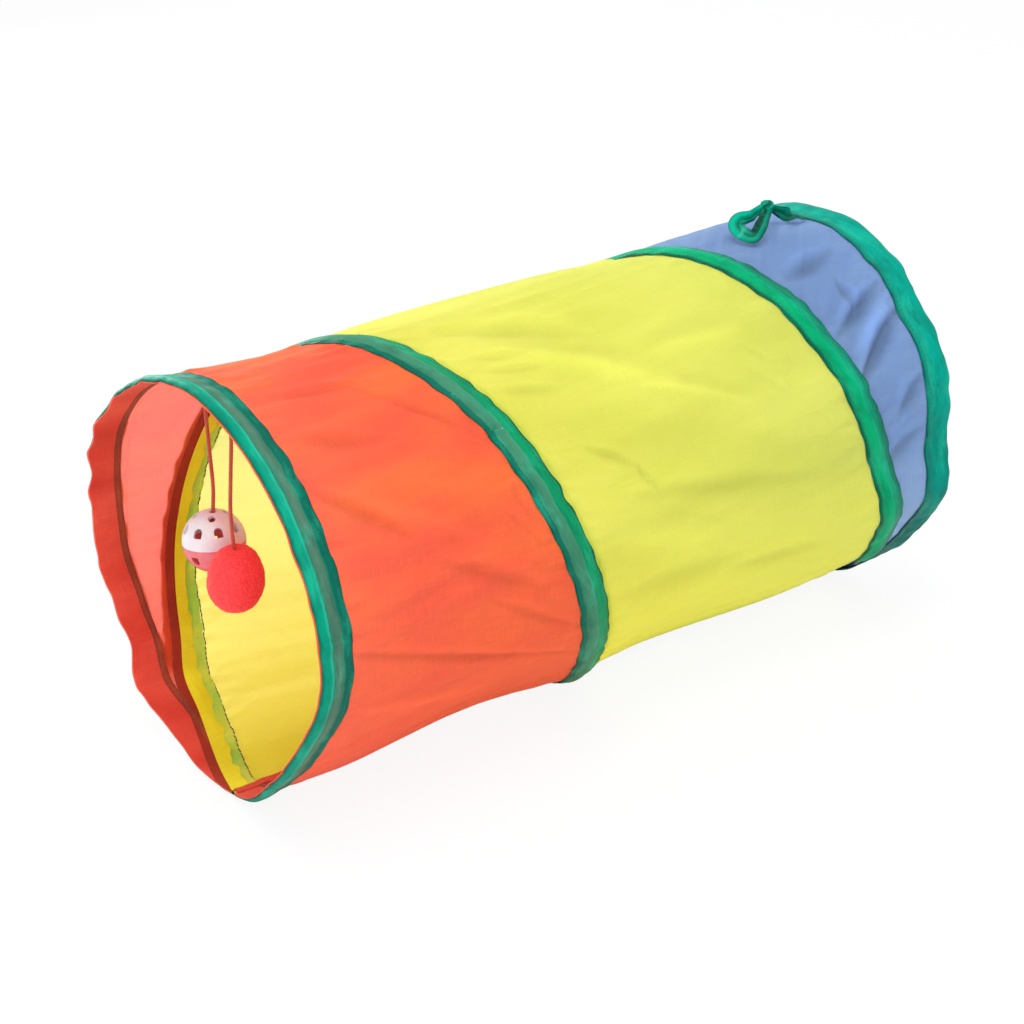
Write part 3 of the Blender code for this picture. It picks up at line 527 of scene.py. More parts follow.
# %% Shader helper
class Finish:
    """Small helper to add shader nodes and join them up."""

    def __init__(self, name):
        self.material = bpy.data.materials.new(name)
        self.material.use_nodes = True
        self.tree = self.material.node_tree
        self.shader = self.tree.nodes["Principled BSDF"]
        self.out = self.tree.nodes["Material Output"]

    def add(self, kind, *sources, **settings):
        node = self.tree.nodes.new("ShaderNode" + kind)
        for key, value in settings.items():
            setattr(node, key, value)
        for slot, source in enumerate(sources):
            self.join(source, node.inputs[slot])
        return node

    def join(self, source, socket):
        if source is None:
            return
        if isinstance(source, bpy.types.NodeSocket):
            self.tree.links.new(source, socket)
        elif isinstance(source, bpy.types.Node):
            self.tree.links.new(source.outputs[0], socket)
        else:
            socket.default_value = source

    def set(self, **values):
        for key, value in values.items():
            self.join(value, self.shader.inputs[key.replace("_", " ")])

    def math(self, operation, first, second=0.0):
        return self.add("Math", first, second, operation=operation).outputs[0]

    def mix(self, share, first, second, blend="MIX"):
        node = self.add("Mix", data_type="RGBA", blend_type=blend)
        self.join(share, node.inputs["Factor"])
        self.join(first, node.inputs[6])
        self.join(second, node.inputs[7])
        return node.outputs[2]

    def noise(self, vector, size, detail=2.0, roughness=0.5, stretch=(1, 1, 1)):
        """Noise whose blotches are about size metres across, stretched along the axes."""
        mapping = self.add("Mapping", vector)
        mapping.inputs["Scale"].default_value = [s / size for s in stretch]
        noise = self.add("TexNoise", mapping)
        noise.inputs["Scale"].default_value = 1
        noise.inputs["Detail"].default_value = detail
        noise.inputs["Roughness"].default_value = roughness
        return noise.outputs["Fac"]

    def spread(self, value, low, high, to_low=0.0, to_high=1.0):
        """The range from low to high stretched over another one."""
        node = self.add("MapRange", value)
        for slot, number in zip(("From Min", "From Max", "To Min", "To Max"), (low, high, to_low, to_high)):
            node.inputs[slot].default_value = number
        return node.outputs[0]

    def scaled(self, colour, factor):
        """A colour made brighter or darker by a factor."""
        node = self.add("VectorMath", colour, operation="SCALE")
        self.join(factor, node.inputs["Scale"])
        return node

    def bump(self, height, distance, strength=1.0, normal=None):
        node = self.add("Bump")
        node.inputs["Strength"].default_value = strength
        node.inputs["Distance"].default_value = distance
        self.join(height, node.inputs["Height"])
        self.join(normal, node.inputs["Normal"])
        return node.outputs[0]

    def lead_out(self, share, second):
        """Mix a second shader into the plain one and lead both to the surface."""
        mixed = self.add("MixShader", share)
        self.join(self.shader, mixed.inputs[1])
        self.join(second, mixed.inputs[2])
        self.join(mixed, self.out.inputs["Surface"])
        return self.material


def linear(red, green, blue):
    """Colour from 0 to 255 as seen, turned into the linear values that Blender works with."""
    return tuple(((v / 255 + 0.055) / 1.055) ** 2.4 if v > 10 else v / 255 / 12.92
                 for v in (red, green, blue)) + (1.0,)


print("middle grey in linear values", [round(v, 3) for v in linear(128, 128, 128)])

# %% [markdown]
# ## Finishes: thin dyed cloth
# The panels are light polyester. Light that falls on the far side shines through and makes them glow,
# so the shader mixes a plain surface with a translucent one. Threads are a little uneven: two
# stretched noises, one along each thread direction, give fine slubs, and a wave pattern gives the
# weave itself, which only shows close up. The creases of the panels get painted shade and their
# ridges a painted highlight, and near the floor the colour turns to one that paints the light bounced
# up from the floor.

# %% Cloth material
WEAVE_SCALE = 420


def cloth_finish(name, colour, deep, glow, slub=0.06, through=0.55, low=None, crease_painted_shade=0.0):
    """Thin woven cloth: its colour, a second colour mixed in by soft cloudy noise, a colour near the
    floor that is painted light from the floor, painted shade in its creases, and the light that comes
    through it."""
    f = Finish(name)
    uv = f.add("UVMap").outputs[0]
    along = f.noise(uv, 0.0007, 3, 0.6, (0.045, 1, 1))
    across = f.noise(uv, 0.0007, 3, 0.6, (1, 0.045, 1))
    threads = f.math("ADD", along, across)
    cloud = f.noise(uv, 0.045, 3, 0.5, (1, 0.4, 1))
    tone = f.mix(f.spread(cloud, 0.38, 0.62), colour, deep)
    # Painted light: from 15 cm down to 4 cm above the floor the colour turns to low, which stands in for
    # light bounced up from the floor.
    if low:
        height = f.add("SeparateXYZ", f.add("TexCoord").outputs["Object"]).outputs[2]
        tone = f.mix(f.spread(height, 0.15, 0.04), tone, low)
    # Painted shade: the fold mark darkens the colour in creases and lightens it on ridges as a painted
    # highlight.
    fold = f.add("Attribute", attribute_name="fold").outputs["Fac"]
    brightness = f.math("SUBTRACT", f.spread(threads, 0.75, 1.25, 1 - slub, 1 + slub),
                        f.math("MULTIPLY", fold, crease_painted_shade))
    shade = f.scaled(tone, brightness)
    weave_u = f.add("TexWave", f.add("Mapping", uv), bands_direction="X")
    weave_v = f.add("TexWave", f.add("Mapping", uv), bands_direction="Y")
    for wave in (weave_u, weave_v):
        wave.inputs["Scale"].default_value = WEAVE_SCALE
    weave = f.math("MAXIMUM", weave_u.outputs["Fac"], weave_v.outputs["Fac"])
    creases = f.noise(uv, 0.009, 4, 0.55, (1, 0.35, 1))
    bump = f.bump(creases, 0.0011, 0.5)
    bump = f.bump(threads, 0.00014, 0.6, bump)
    bump = f.bump(weave, 0.00003, 0.4, bump)
    f.set(Base_Color=shade.outputs[0], Roughness=0.72, Normal=bump)
    f.shader.inputs["Specular IOR Level"].default_value = 0.25
    f.shader.inputs["Sheen Weight"].default_value = 0.12
    f.shader.inputs["Sheen Roughness"].default_value = 0.4
    light = f.add("BsdfTranslucent", f.scaled(glow[:3], brightness))
    f.join(bump, light.inputs["Normal"])
    return f.lead_out(through, light)


# The colour given as low is painted light from the floor below, and the last number is the painted shade of
# the creases.
red_cloth = cloth_finish("thin_red_cloth", linear(253, 119, 54), linear(241, 88, 60),
                         linear(255, 200, 194), low=linear(248, 92, 50), crease_painted_shade=0.13)
yellow_cloth = cloth_finish("thin_yellow_cloth", linear(230, 234, 104), linear(216, 222, 88),
                            linear(255, 255, 210), 0.025, low=linear(255, 250, 76), crease_painted_shade=0.08)
blue_cloth = cloth_finish("thin_blue_cloth", linear(153, 181, 215), linear(136, 164, 208),
                          linear(180, 205, 240), 0.04, low=linear(198, 222, 246), crease_painted_shade=0.26)
print("cloths", [cloth.name for cloth in (red_cloth, yellow_cloth, blue_cloth)])

# %% [markdown]
# ## Folds of stretched cloth
# Stretched cloth is drawn in a little between its seams, and because the wire pulls it unevenly, soft
# folds run from seam to seam. Close to a seam the stitches gather the cloth in short puckers. All of
# this is a height above the tunnel's shape: noise that is longer in one direction than in the other,
# and single creases placed where the photograph shows them.

# %% Folds
TAPE_WIDTH = 21 * MM
RIM_SHOW = 0.8 * MM
SEAM_HALF = 0.3 * MM / 2
CLOTH_WALL = 0.35 * MM
FREE_ANGLE = math.radians(38)
SEAM_LINE = math.radians(-12)     # the seam that joins the panels' ends, a little to one side
PUCKER_HEIGHT = 0.85 * MM
PUCKER_SIZE = (0.009, 0.03)
HIGHEST_FOLD = 4.4 * MM
CLOTH_SINKS = 0.05 * MM
CROWN_ANGLE = math.radians(146)       # where the cloth lies up over the frame
CROWN_REACH = 0.42
BELLY_ANGLE = math.radians(322)       # where it hangs below the frame, near the floor
BELLY_REACH = 0.36
PANEL_GRID = (620, 96)


def creased(angle, x, creases):
    """Height in metres of the soft creases seen in the photograph."""
    height = 0 * angle
    for from_degrees, from_x, to_degrees, to_x, width, depth in creases:
        run_around = CLOTH_RADIUS * math.radians(to_degrees - from_degrees)
        run_x = (to_x - from_x) * MM
        off_around = CLOTH_RADIUS * (angle - math.radians(from_degrees))
        off_x = x - from_x * MM
        length = math.hypot(run_around, run_x)
        on_way = np.clip((off_around * run_around + off_x * run_x) / length ** 2, 0, 1)
        beside = np.hypot(off_around - on_way * run_around, off_x - on_way * run_x)
        beside *= np.sign(off_around * run_x - off_x * run_around)
        swell = np.sin(math.pi * on_way)
        across = beside / (width * MM * (0.55 + 0.45 * swell))
        profile = np.exp(-across ** 2) - 0.4 * np.exp(-(across + 1.6) ** 2)
        height += depth * MM * (0.3 + 0.7 * swell) * profile
    return height


def folds(angle, x, share, span, layers, hang, creases, seed):
    """How far the cloth is drawn in or lies up at a share of the span between two tapes. layers are
    noises (millimetres, size, slant), hang is how it lies at the crown and then, near the floor, its
    bulges (millimetres, share, reach)."""
    inside = (share > 0) & (share < 1)
    around = CLOTH_RADIUS * angle
    along = share * span
    arch = np.clip(4 * share * (1 - share), 0, 1)
    slack = np.minimum(span / 0.1, 1)
    off_seam = soften(np.abs(wrap(angle - SEAM_LINE)) / FREE_ANGLE)
    crown = bell(wrap(angle - CROWN_ANGLE), CROWN_REACH)
    low = bell(wrap(angle - BELLY_ANGLE), BELLY_REACH)
    height = off_seam * MM * ((1 - crown) * slack * arch * -2.0 + crown * arch ** 0.3 * hang[0])
    for amount, peak, reach in hang[1:]:
        height += low * arch ** 0.4 * slack * bell(share - peak, reach) * amount * MM
    for number, (amount, size, slant) in enumerate(layers):
        height += (amount * MM * slack * arch ** 0.5 * (0.35 + 0.65 * off_seam) * (1 - 0.9 * crown)
                   * waves(around + slant * along, along, size, seed + number, 12))
    from_seam = np.minimum(share, 1 - share) * span
    gather = np.exp(-from_seam / 0.014) * (1 - np.exp(-from_seam / 0.002)) * np.minimum(span / 0.02, 1)
    height += PUCKER_HEIGHT * gather * waves(around, from_seam, PUCKER_SIZE, seed + 50)
    height += creased(angle, x, creases)
    return np.where(inside, np.minimum(height, HIGHEST_FOLD), 0)


print("puckers are", round(PUCKER_HEIGHT * 1000, 2), "mm high")

# %% [markdown]
# ## The three panels
# Each panel is one sheet between two turns of wire. Its edges follow the wire's helix, and it ends
# at the seam along the floor. A sheet is made as one grid, then cut where the tunnel folds, and
# each part gets its wall.

# %% Panels
def panel(name, front_edge, back_edge, first, last, covers, layers, hang, creases, seed, finish):
    """A panel between two edges, and a function for the height of its cloth. covers is how much of it
    lies under the two tapes."""
    def lift(angle, x):
        low, high = front_edge(angle), back_edge(angle)
        middle = (low + high) / 2
        free_low = np.minimum(low + covers[0], middle - 0.2 * MM)
        free_high = np.maximum(high - covers[1], middle + 0.2 * MM)
        span = free_high - free_low
        share = (x - free_low) / span
        return folds(angle, x, share, span, layers, hang, creases, seed) - CLOTH_SINKS

    def at(u, v):
        angle = first + u * (last - first)
        low, high = front_edge(angle), back_edge(angle)
        return angle, low + v * (high - low)

    def shape(u, v):
        angle, x = at(u, v)
        return place(angle, x, lift(angle, x))

    def measure(u, v):
        angle, x = at(u, v)
        return CLOTH_RADIUS * angle, x

    # The fold mark carries the painted shade of each crease, and the painted highlight of each ridge, to
    # the finish.
    def marks(u, v):
        return {"fold": np.clip(-creased(*at(u, v), creases) / (3 * MM), -1, 1)}

    piece = grid_piece(name, *PANEL_GRID, shape, measure, marks)
    piece.data.materials.append(finish)
    return piece, lift


END_COVER = RIM_SHOW + TAPE_WIDTH
TAPE_HALF = TAPE_WIDTH / 2
POINT_ANGLE = math.radians(-10.5)
FIRST = SEAM_LINE + SEAM_HALF / CLOTH_RADIUS
LAST = TURN + SEAM_LINE - SEAM_HALF / CLOTH_RADIUS
RED_FOLDS = [(0.55, (0.02, 0.16), 0.12), (0.12, (0.007, 0.05), 0.3)]
YELLOW_FOLDS = [(0.6, (0.028, 0.3), 0.1), (0.1, (0.009, 0.09), 0.1)]
BLUE_FOLDS = [(0.8, (0.02, 0.25), 0.7), (0.25, (0.007, 0.1), 0.75)]
# Soft creases, seen in the photograph: from degrees and millimetres along the tunnel, to degrees and
# millimetres, then the width and the depth in millimetres. Above zero it is a ridge
RED_CREASES = [(266, -236, 297, -58, 3.4, -2.6), (266, -134, 284, -66, 3, -1.7),
               (252, -162, 268, -94, 5, -1.9), (224, -228, 242, -178, 5, -2.4),
               (208, -226, 216, -162, 5, -2.0), (192, -212, 194, -160, 4, -2.0),
               (195, -166, 216, -124, 3, -1.2), (204, -150, 222, -112, 2.5, -0.9),
               (236, -104, 249, -96, 2, -1.0), (286, -226, 304, -110, 5, 1.4),
               (232, -190, 250, -130, 6, 1.2), (244, -112, 256, -92, 2, -0.8)]
YELLOW_CREASES = [(183, -82, 199, 0, 9, -3.0), (198, -84, 201, -44, 2.8, -1.6),
                  (204, -84, 207, -42, 2.8, -1.6), (211, -88, 216, -44, 3.2, -1.8),
                  (198, -62, 224, 36, 8, 2.4), (234, -46, 243, -12, 3, -2.0),
                  (243, -12, 251, -2, 2.5, -2.2), (213, 34, 214, 104, 7, 2.4),
                  (221, 10, 235, 84, 4.5, 2.0), (252, -18, 264, 126, 7, -2.3),
                  (280, -36, 282, 64, 9, -2.2), (286, 60, 290, 140, 7, -2.2),
                  (226, 90, 238, 118, 3, -1.0), (218, 92, 228, 116, 2.5, -0.9),
                  (262, -40, 270, 40, 8, 1.6)]
BLUE_CREASES = [(202, 166, 197, 212, 6, -3.0), (225, 176, 213, 226, 4.6, -3.4),
                (242, 174, 222, 234, 5.2, -4.4), (208, 198, 218, 198, 4, -2.2),
                (254, 208, 245, 230, 6, -2.8), (268, 196, 262, 226, 6, -2.2),
                (233, 178, 217, 230, 5, 2.2)]
RED_HANG = (1.7, (-6.5, 0.7, 0.3), (3.6, 0.14, 0.2))
YELLOW_HANG = (3.3, (-6.0, 0.2, 0.3), (2.2, 0.8, 0.2))
BLUE_HANG = (1.5, (-0.5, 0.5, 0.3))
red_panel, red_lift = panel(
    "red_cloth", level(-HALF), lambda a: join_x(a) - SEAM_HALF, POINT_ANGLE, LAST,
    (END_COVER, TAPE_HALF), RED_FOLDS, RED_HANG, RED_CREASES, 10, red_cloth)
red_parts = cut_parts(red_panel)
yellow_panel, yellow_lift = panel(
    "yellow_cloth", lambda a: np.maximum(join_x(a) + SEAM_HALF, -HALF),
    lambda a: join_x(a + TURN) - SEAM_HALF, FIRST, LAST,
    (TAPE_HALF, TAPE_HALF), YELLOW_FOLDS, YELLOW_HANG, YELLOW_CREASES, 20, yellow_cloth)
yellow_parts = cut_parts(yellow_panel)
blue_panel, blue_lift = panel(
    "blue_cloth", lambda a: join_x(a + TURN) + SEAM_HALF, level(HALF), FIRST, LAST,
    (TAPE_HALF, END_COVER), BLUE_FOLDS, BLUE_HANG, BLUE_CREASES, 30, blue_cloth)
blue_parts = cut_parts(blue_panel)
panel_cloth = {}
for parts, node in ((red_parts, "red_panel"), (yellow_parts, "yellow_panel"), (blue_parts, "blue_panel")):
    others = []
    for part, body in parts:
        finish_cloth(part, CLOTH_WALL, body)
        if body == "middle":
            main = part
        else:
            others.append(part)
    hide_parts(node)
    panel_cloth[node] = (main, others)
    print(node, "has", 1 + len(others), "parts")

# %% [markdown]
# ## Finishes: green satin tape
# The tape is a shiny ribbon. Where it is folded double, at the rim and in its hems, it is a full
# green. Where one layer lies over the cloth, the cloth tints it: grey-green over red, vivid over
# yellow, teal over blue. So the colour is drawn as a ramp across the tape, from its front edge to its
# back one, with crisp steps where the layers change. The ramps also hold painted light: a light line
# along the ridge over the wire is a painted highlight, and dark lines at the very edges are painted
# shade. Lighter patches are a painted satin sheen. Satin threads streak it along its length.

# %% Tape material
TAPE_GLOW = 0.12     # the share of light that comes through the tape


def tape_ramp(f, across, stops):
    """Colour ramp across the tape, from (position, red, green, blue) stops."""
    node = f.add("ValToRGB", across)
    ramp = node.color_ramp
    for number, (position, *colour) in enumerate(stops):
        stop = ramp.elements[number] if number < 2 else ramp.elements.new(position)
        stop.position = position
        stop.color = linear(*colour)
    return node.outputs[0]


def tape_finish(name, stops, later_stops=None):
    """Satin in the colours of its stops, which may change to later ones along the tape."""
    f = Finish(name)
    uv = f.add("UVMap").outputs[0]
    across = f.add("Attribute", attribute_name="across").outputs["Fac"]
    drift = f.noise(uv, 0.02, 2, 0.5)
    across = f.math("ADD", across, f.spread(drift, 0.3, 0.7, -0.025, 0.025))
    tone = tape_ramp(f, across, stops)
    if later_stops:
        later = f.add("Attribute", attribute_name="later").outputs["Fac"]
        tone = f.mix(later, tone, tape_ramp(f, across, later_stops))
    blotch = f.noise(uv, 0.008, 4, 0.6, (0.35, 1, 1))
    tone = f.mix(f.spread(blotch, 0.44, 0.66, 0, 0.6), tone, f.mix(0.6, tone, linear(10, 82, 66)))
    # Painted highlight: the lighter patches stand in for the satin's sheen.
    pale = f.noise(uv, 0.01, 4, 0.6, (0.35, 1, 1))
    tone = f.mix(f.spread(pale, 0.5, 0.68, 0, 0.6), tone, f.mix(0.5, tone, linear(50, 218, 176)))
    streaks = f.noise(uv, 0.0006, 3, 0.6, (0.05, 1, 1))
    shade = f.scaled(tone, f.spread(streaks, 0.3, 0.7, 0.93, 1.07))
    creases = f.noise(uv, 0.006, 4, 0.6, (0.6, 1, 1))
    bump = f.bump(creases, 0.0011, 0.55)
    bump = f.bump(streaks, 0.00008, 0.6, bump)
    f.set(Base_Color=shade.outputs[0], Roughness=0.4, Normal=bump)
    f.shader.inputs["Specular IOR Level"].default_value = 0.06
    f.shader.inputs["Anisotropic"].default_value = 0.4
    return f.lead_out(TAPE_GLOW, f.add("BsdfTranslucent", shade))


# Stops across each tape, from its front edge: the darkest stops at the very edges are painted shade, and
# the lightest stop over the ridge, at 0.28 on the rim tape and near 0.5 on the coil tape, is a painted
# highlight.
RIM_STOPS = [(0.0, 4, 116, 92), (0.05, 0, 150, 122), (0.20, 8, 160, 130), (0.28, 40, 190, 154),
             (0.31, 56, 126, 102), (0.52, 90, 128, 108), (0.68, 66, 124, 100), (0.73, 0, 112, 92),
             (0.95, 0, 104, 86), (1.0, 0, 62, 50)]
RED_YELLOW_STOPS = [(0.0, 0, 80, 66), (0.03, 6, 108, 88), (0.15, 10, 116, 94), (0.19, 60, 136, 106),
                    (0.47, 74, 142, 110), (0.51, 64, 156, 118), (0.55, 20, 146, 102), (0.64, 0, 156, 102),
                    (0.90, 0, 152, 96), (0.95, 0, 100, 70), (1.0, 0, 74, 54)]
YELLOW_BLUE_STOPS = [(0.0, 0, 92, 66), (0.09, 0, 112, 78), (0.13, 0, 166, 108), (0.46, 0, 174, 118),
                     (0.52, 16, 176, 124), (0.57, 0, 154, 114), (0.86, 0, 138, 106), (0.95, 0, 112, 90),
                     (1.0, 0, 74, 62)]
BLUE_RIM_STOPS = [(0.0, 0, 92, 78), (0.05, 0, 134, 116), (0.12, 0, 160, 140), (0.60, 0, 166, 146),
                  (0.78, 0, 154, 134), (0.92, 0, 144, 126), (1.0, 0, 96, 84)]
# Painted shade: on its side beside the floor the back tape turns to these darker stops.
SHADED_RIM_STOPS = [(across, 0.62 * red, 0.62 * green, 0.68 * blue)
                    for across, red, green, blue in BLUE_RIM_STOPS]
rim_tape = tape_finish("satin_tape_over_red", RIM_STOPS)
coil_tape = tape_finish("satin_tape_over_coil", RED_YELLOW_STOPS, YELLOW_BLUE_STOPS)
blue_tape = tape_finish("satin_tape_over_blue", BLUE_RIM_STOPS, SHADED_RIM_STOPS)

# %% [markdown]
# ## The binding tape
# Tape is folded round each turn of wire and stitched through the cloth on both sides. Its section is
# like a low tent: two flat planes that meet over the wire, and folded hems that step up at the edges.
# The section is drawn once as a list of places and heights, and swept along its ring on a grid that
# closes on itself. Its edges wander a little, and here and there the tape is pinched, as sewn tape is.

# %% Tape sections
HEM_HEIGHT = 0.95 * MM
RIDGE_HEIGHT = 3.3 * MM
SEWN_ROW = 3.3 * MM      # from the tape's edge to the row of stitches
TAPE_WALL = 0.4 * MM
HOOP_INSET = 4.5 * MM
WIRE_SPACING = 2.4 * MM
RIDGE_HALF = 1.2 * MM
HEM_WIDTH = 4.2 * MM
SECTION = 44              # points round the tape's section
TAPE_COLUMNS = 560        # columns of the grid in a whole turn
END_SLOPES = (3.0 * MM, 11 * MM)
COIL_SLOPES = (8.4 * MM, 8.4 * MM)


def leaving_inset(angle):
    beside = HOOP_INSET + WIRE_SPACING
    along = PITCH * angle / TURN
    return (beside + along + np.hypot(beside - along, 1.5 * MM)) / 2


def hoop_inset(angle):
    ease = (angle - math.radians(300)) / math.radians(30)
    return HOOP_INSET + WIRE_SPACING * soften(ease)


def pinched(angle, share, pinches):
    """Height of the small folds where the tape is pinched, and how far its edges are drawn in there."""
    height, drawn = 0 * angle, 0 * angle
    for degrees, middle, reach, depth, slant in pinches:
        off = (CLOTH_RADIUS * (angle - math.radians(degrees)) / MM - slant * (share - middle)) / 1.5
        here = bell(share - middle, reach)
        height = height + depth * MM * here * (0.9 * bell(off - 1.5, 1) - bell(off, 1))
        drawn = drawn + 0.9 * MM * abs(depth) * bell(off, 2.6) * here
    return height, drawn


def tape_piece(name, angles, limits, ridge, slopes, point_at, later_at, finish, seed, closed, hems,
               edges, pinches):
    """Tape along a ring of angles. limits and ridge give its two edges and its two ridge lines, slopes
    the run of its two planes, and edges how far its two edges wander and over what length."""
    half = SECTION // 2
    across = np.concatenate([np.linspace(0, 1, half), np.linspace(1, 0, half)])

    def at(u, v):
        angle = angles[0] + u * (angles[1] - angles[0])
        k = np.rint(v * SECTION).astype(int) % SECTION
        share, below = across[k], (k >= half)
        low, high = limits(angle)
        return angle, low + share * (high - low), low, high, share, below

    def raised(angle, x, low, high, share, below):
        ridge_low, ridge_high = ridge(angle)
        flat = np.where(x < ridge_low, (ridge_low - x) / slopes[0],
                        np.where(x > ridge_high, (x - ridge_high) / slopes[1], 0))
        flat = np.clip(flat, 0, 1)
        top = HEM_HEIGHT + (1 - 0.75 * flat - 0.25 * soften(flat)) * (RIDGE_HEIGHT - HEM_HEIGHT)
        for hem, from_edge in ((hems[0], x - low), (hems[1], high - x)):
            if hem:
                top = top + 0.32 * MM * soften((HEM_WIDTH - from_edge) / (0.35 * MM))
                top = top - 0.22 * MM * bell(from_edge - SEWN_ROW, 0.4 * MM)
            top = top - 0.5 * MM * np.exp(-from_edge / (0.35 * MM))
        planes = soften(flat * 2) * ring_waves(angle, 0.016, seed + 2) * (1 - 0.5 * share)
        top = top + 0.16 * MM * planes
        fold, drawn = pinched(angle, share, pinches)
        height = np.maximum(top + fold - below * TAPE_WALL, 0.12 * MM)
        shift = (edges[0][0] * MM * ring_waves(angle, edges[0][1], seed) + drawn) * (1 - share) ** 2
        shift += (edges[1][0] * MM * ring_waves(angle, edges[1][1], seed + 1) - drawn) * share ** 2
        return point_at(angle, x + shift, height)

    def sewn(angle, share):
        """Points just over the tape, at a share of its width, for a row of stitches."""
        low, high = limits(angle)
        return raised(angle, low + share * (high - low), low, high, share + 0 * angle, -0.15)

    def marks(u, v):
        angle, x, low, high, share, below = at(u, v)
        return {"across": share, "later": later_at(angle)}

    def measure(u, v):
        angle, x, low = at(u, v)[:3]
        return CLOTH_RADIUS * angle, x - low

    columns = int(round((angles[1] - angles[0]) / TURN * TAPE_COLUMNS))
    piece = grid_piece(name, columns, SECTION, lambda u, v: raised(*at(u, v)), measure, marks)
    close_up(piece, 1e-6, cap=not closed, outward=False)
    smooth(piece, 50)
    piece.data.materials.append(finish)
    return report(piece), sewn


print("the wire leaves its hoop at", round(float(leaving_inset(0)) * 1000, 2), "mm from the rim")

# %% [markdown]
# ## The three tapes
# Two tapes close the ends of the tunnel, and one long tape follows the wire's two turns between
# them. The long one starts and ends under the end tapes, where it is only as wide as the room
# between them. The end tapes close on themselves without a step.

# %% Tapes
def end_point(end, angle, inset, height):
    """Point on an end tape: end is -1 in front and 1 behind, inset the way in from its rim."""
    return place(-end * angle, end * (HALF - inset), height)


def end_limits(angle):
    return RIM_SHOW + 0 * angle, END_COVER + 0 * angle


def end_ridge(angle):
    crossing = TURN * (END_COVER + RIDGE_HALF) / PITCH
    inner = np.where(angle < 0, hoop_inset(angle + TURN),
                     np.where(angle < crossing, leaving_inset(np.maximum(angle, 0)), HOOP_INSET))
    return HOOP_INSET - RIDGE_HALF, inner + RIDGE_HALF


# Pinches: degrees round the tunnel, place across the tape, reach across it, depth in millimetres, slant
FRONT_PINCHES = [(261, 0.45, 0.45, 1.0, 2), (274, 0.6, 0.3, 0.6, -4), (240, 0.8, 0.3, 0.5, 3)]
COIL_PINCHES = [(222, 0.25, 0.35, 1.5, 6), (216, 0.7, 0.3, 0.5, -5), (300, 0.85, 0.2, 0.6, 0),
                (560, 0.3, 0.3, 0.5, 3), (548, 0.6, 0.4, 0.6, -6), (610, 0.7, 0.3, 0.5, 5)]
RING_END = math.radians(300)
RING = (RING_END - TURN, RING_END)
front_tape, on_front = tape_piece(
    "front_tape", RING, end_limits, end_ridge, END_SLOPES, partial(end_point, -1), level(0), rim_tape, 60,
    True, (False, True), ((0.0, 0.02), (0.4, 0.03)), FRONT_PINCHES)
settle(front_tape, "front_end")
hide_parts("front_binding")
# The back tape's later mark places its painted shade on the side near the floor.
back_tape, on_back = tape_piece(
    "back_tape", RING, end_limits, end_ridge, END_SLOPES, partial(end_point, 1),
    lambda a: bell(wrap(a - math.radians(45)), 0.62), blue_tape, 70,
    True, (False, True), ((0.0, 0.02), (0.35, 0.03)), [])
settle(back_tape, "back_end")
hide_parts("back_binding")

HIDDEN = END_COVER + 0.3 * MM
SPIRAL_START = math.radians(37.5)


def spiral_limits(angle):
    middle = helix_x(angle)
    return np.maximum(middle - TAPE_HALF, HIDDEN - HALF), np.minimum(middle + TAPE_HALF, HALF - HIDDEN)


spiral_tape, on_coil = tape_piece(
    "spiral_tape", (SPIRAL_START, 2 * TURN - SPIRAL_START), spiral_limits,
    lambda a: (helix_x(a) - RIDGE_HALF, helix_x(a) + RIDGE_HALF), COIL_SLOPES, place,
    lambda a: soften((a - TURN) / 0.5 + 0.5), coil_tape, 80,
    False, (True, True), ((0.3, 0.024), (0.45, 0.019)), COIL_PINCHES)
settle(spiral_tape, "middle")
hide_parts("spiral_binding")

# %% [markdown]
# ## Seam allowances inside
# Seen through the front opening, the wrong side of the sewing shows: a strip of each next panel is
# turned over beside the wire, its raw edge is scalloped by the stitches, and a braid covers the edge
# of the end tapes. Two strips are painted shade where the green tape lies behind the cloth: the dark
# red one, which is also the red cloth turned over, and the olive one. Each is a narrow sheet on a
# grid, just inside the cloth, at a height that follows the panel above it.

# %% Strips
STRIP_GRID = (420, 8)
SCALLOP_SIZE = (0.013, 1)     # short along the edge, endless across it


def strip(name, angles, low, high, lift_at, finish, seed, scallop):
    """Narrow sheet inside the tunnel from low to high along X, with a free edge at high. lift_at gives
    its height at an angle and a place."""
    def at(u, v):
        angle = angles[0] + u * (angles[1] - angles[0])
        around = CLOTH_RADIUS * angle
        edge = scallop * MM * waves(around, 0 * around, SCALLOP_SIZE, seed, 12)
        x = low(angle) + v * (high(angle) + edge - low(angle))
        uneven = 1 + waves(around, 0 * around, SCALLOP_SIZE, seed + 1, 12)
        curl = 0.35 * MM * v ** 2 * uneven * (scallop > 0)
        return angle, x, lift_at(angle, x) - curl

    piece = grid_piece(name, *STRIP_GRID, lambda u, v: place(*at(u, v)),
                       lambda u, v: (CLOTH_RADIUS * at(u, v)[0], at(u, v)[1]))
    piece.data.materials.append(finish)
    return piece


brown_red = cloth_finish("brown_red_braid", linear(176, 74, 46), linear(140, 54, 38),
                         linear(200, 90, 64), 0.16, 0.1)
# Painted shade: the red cloth over the tape is drawn dark where the tape lies behind it.
shaded_red = cloth_finish("red_allowance_painted_shade_cloth", linear(170, 52, 34), linear(150, 42, 28),
                          linear(190, 60, 40), 0.1, 0.12)
facing_red = cloth_finish("red_facing_cloth", linear(246, 98, 80), linear(222, 66, 52),
                          linear(255, 120, 96), 0.08, 0.25)
deep_yellow = cloth_finish("yellow_allowance_cloth", linear(255, 250, 60), linear(244, 232, 44),
                           linear(255, 255, 120), 0.05, 0.35)
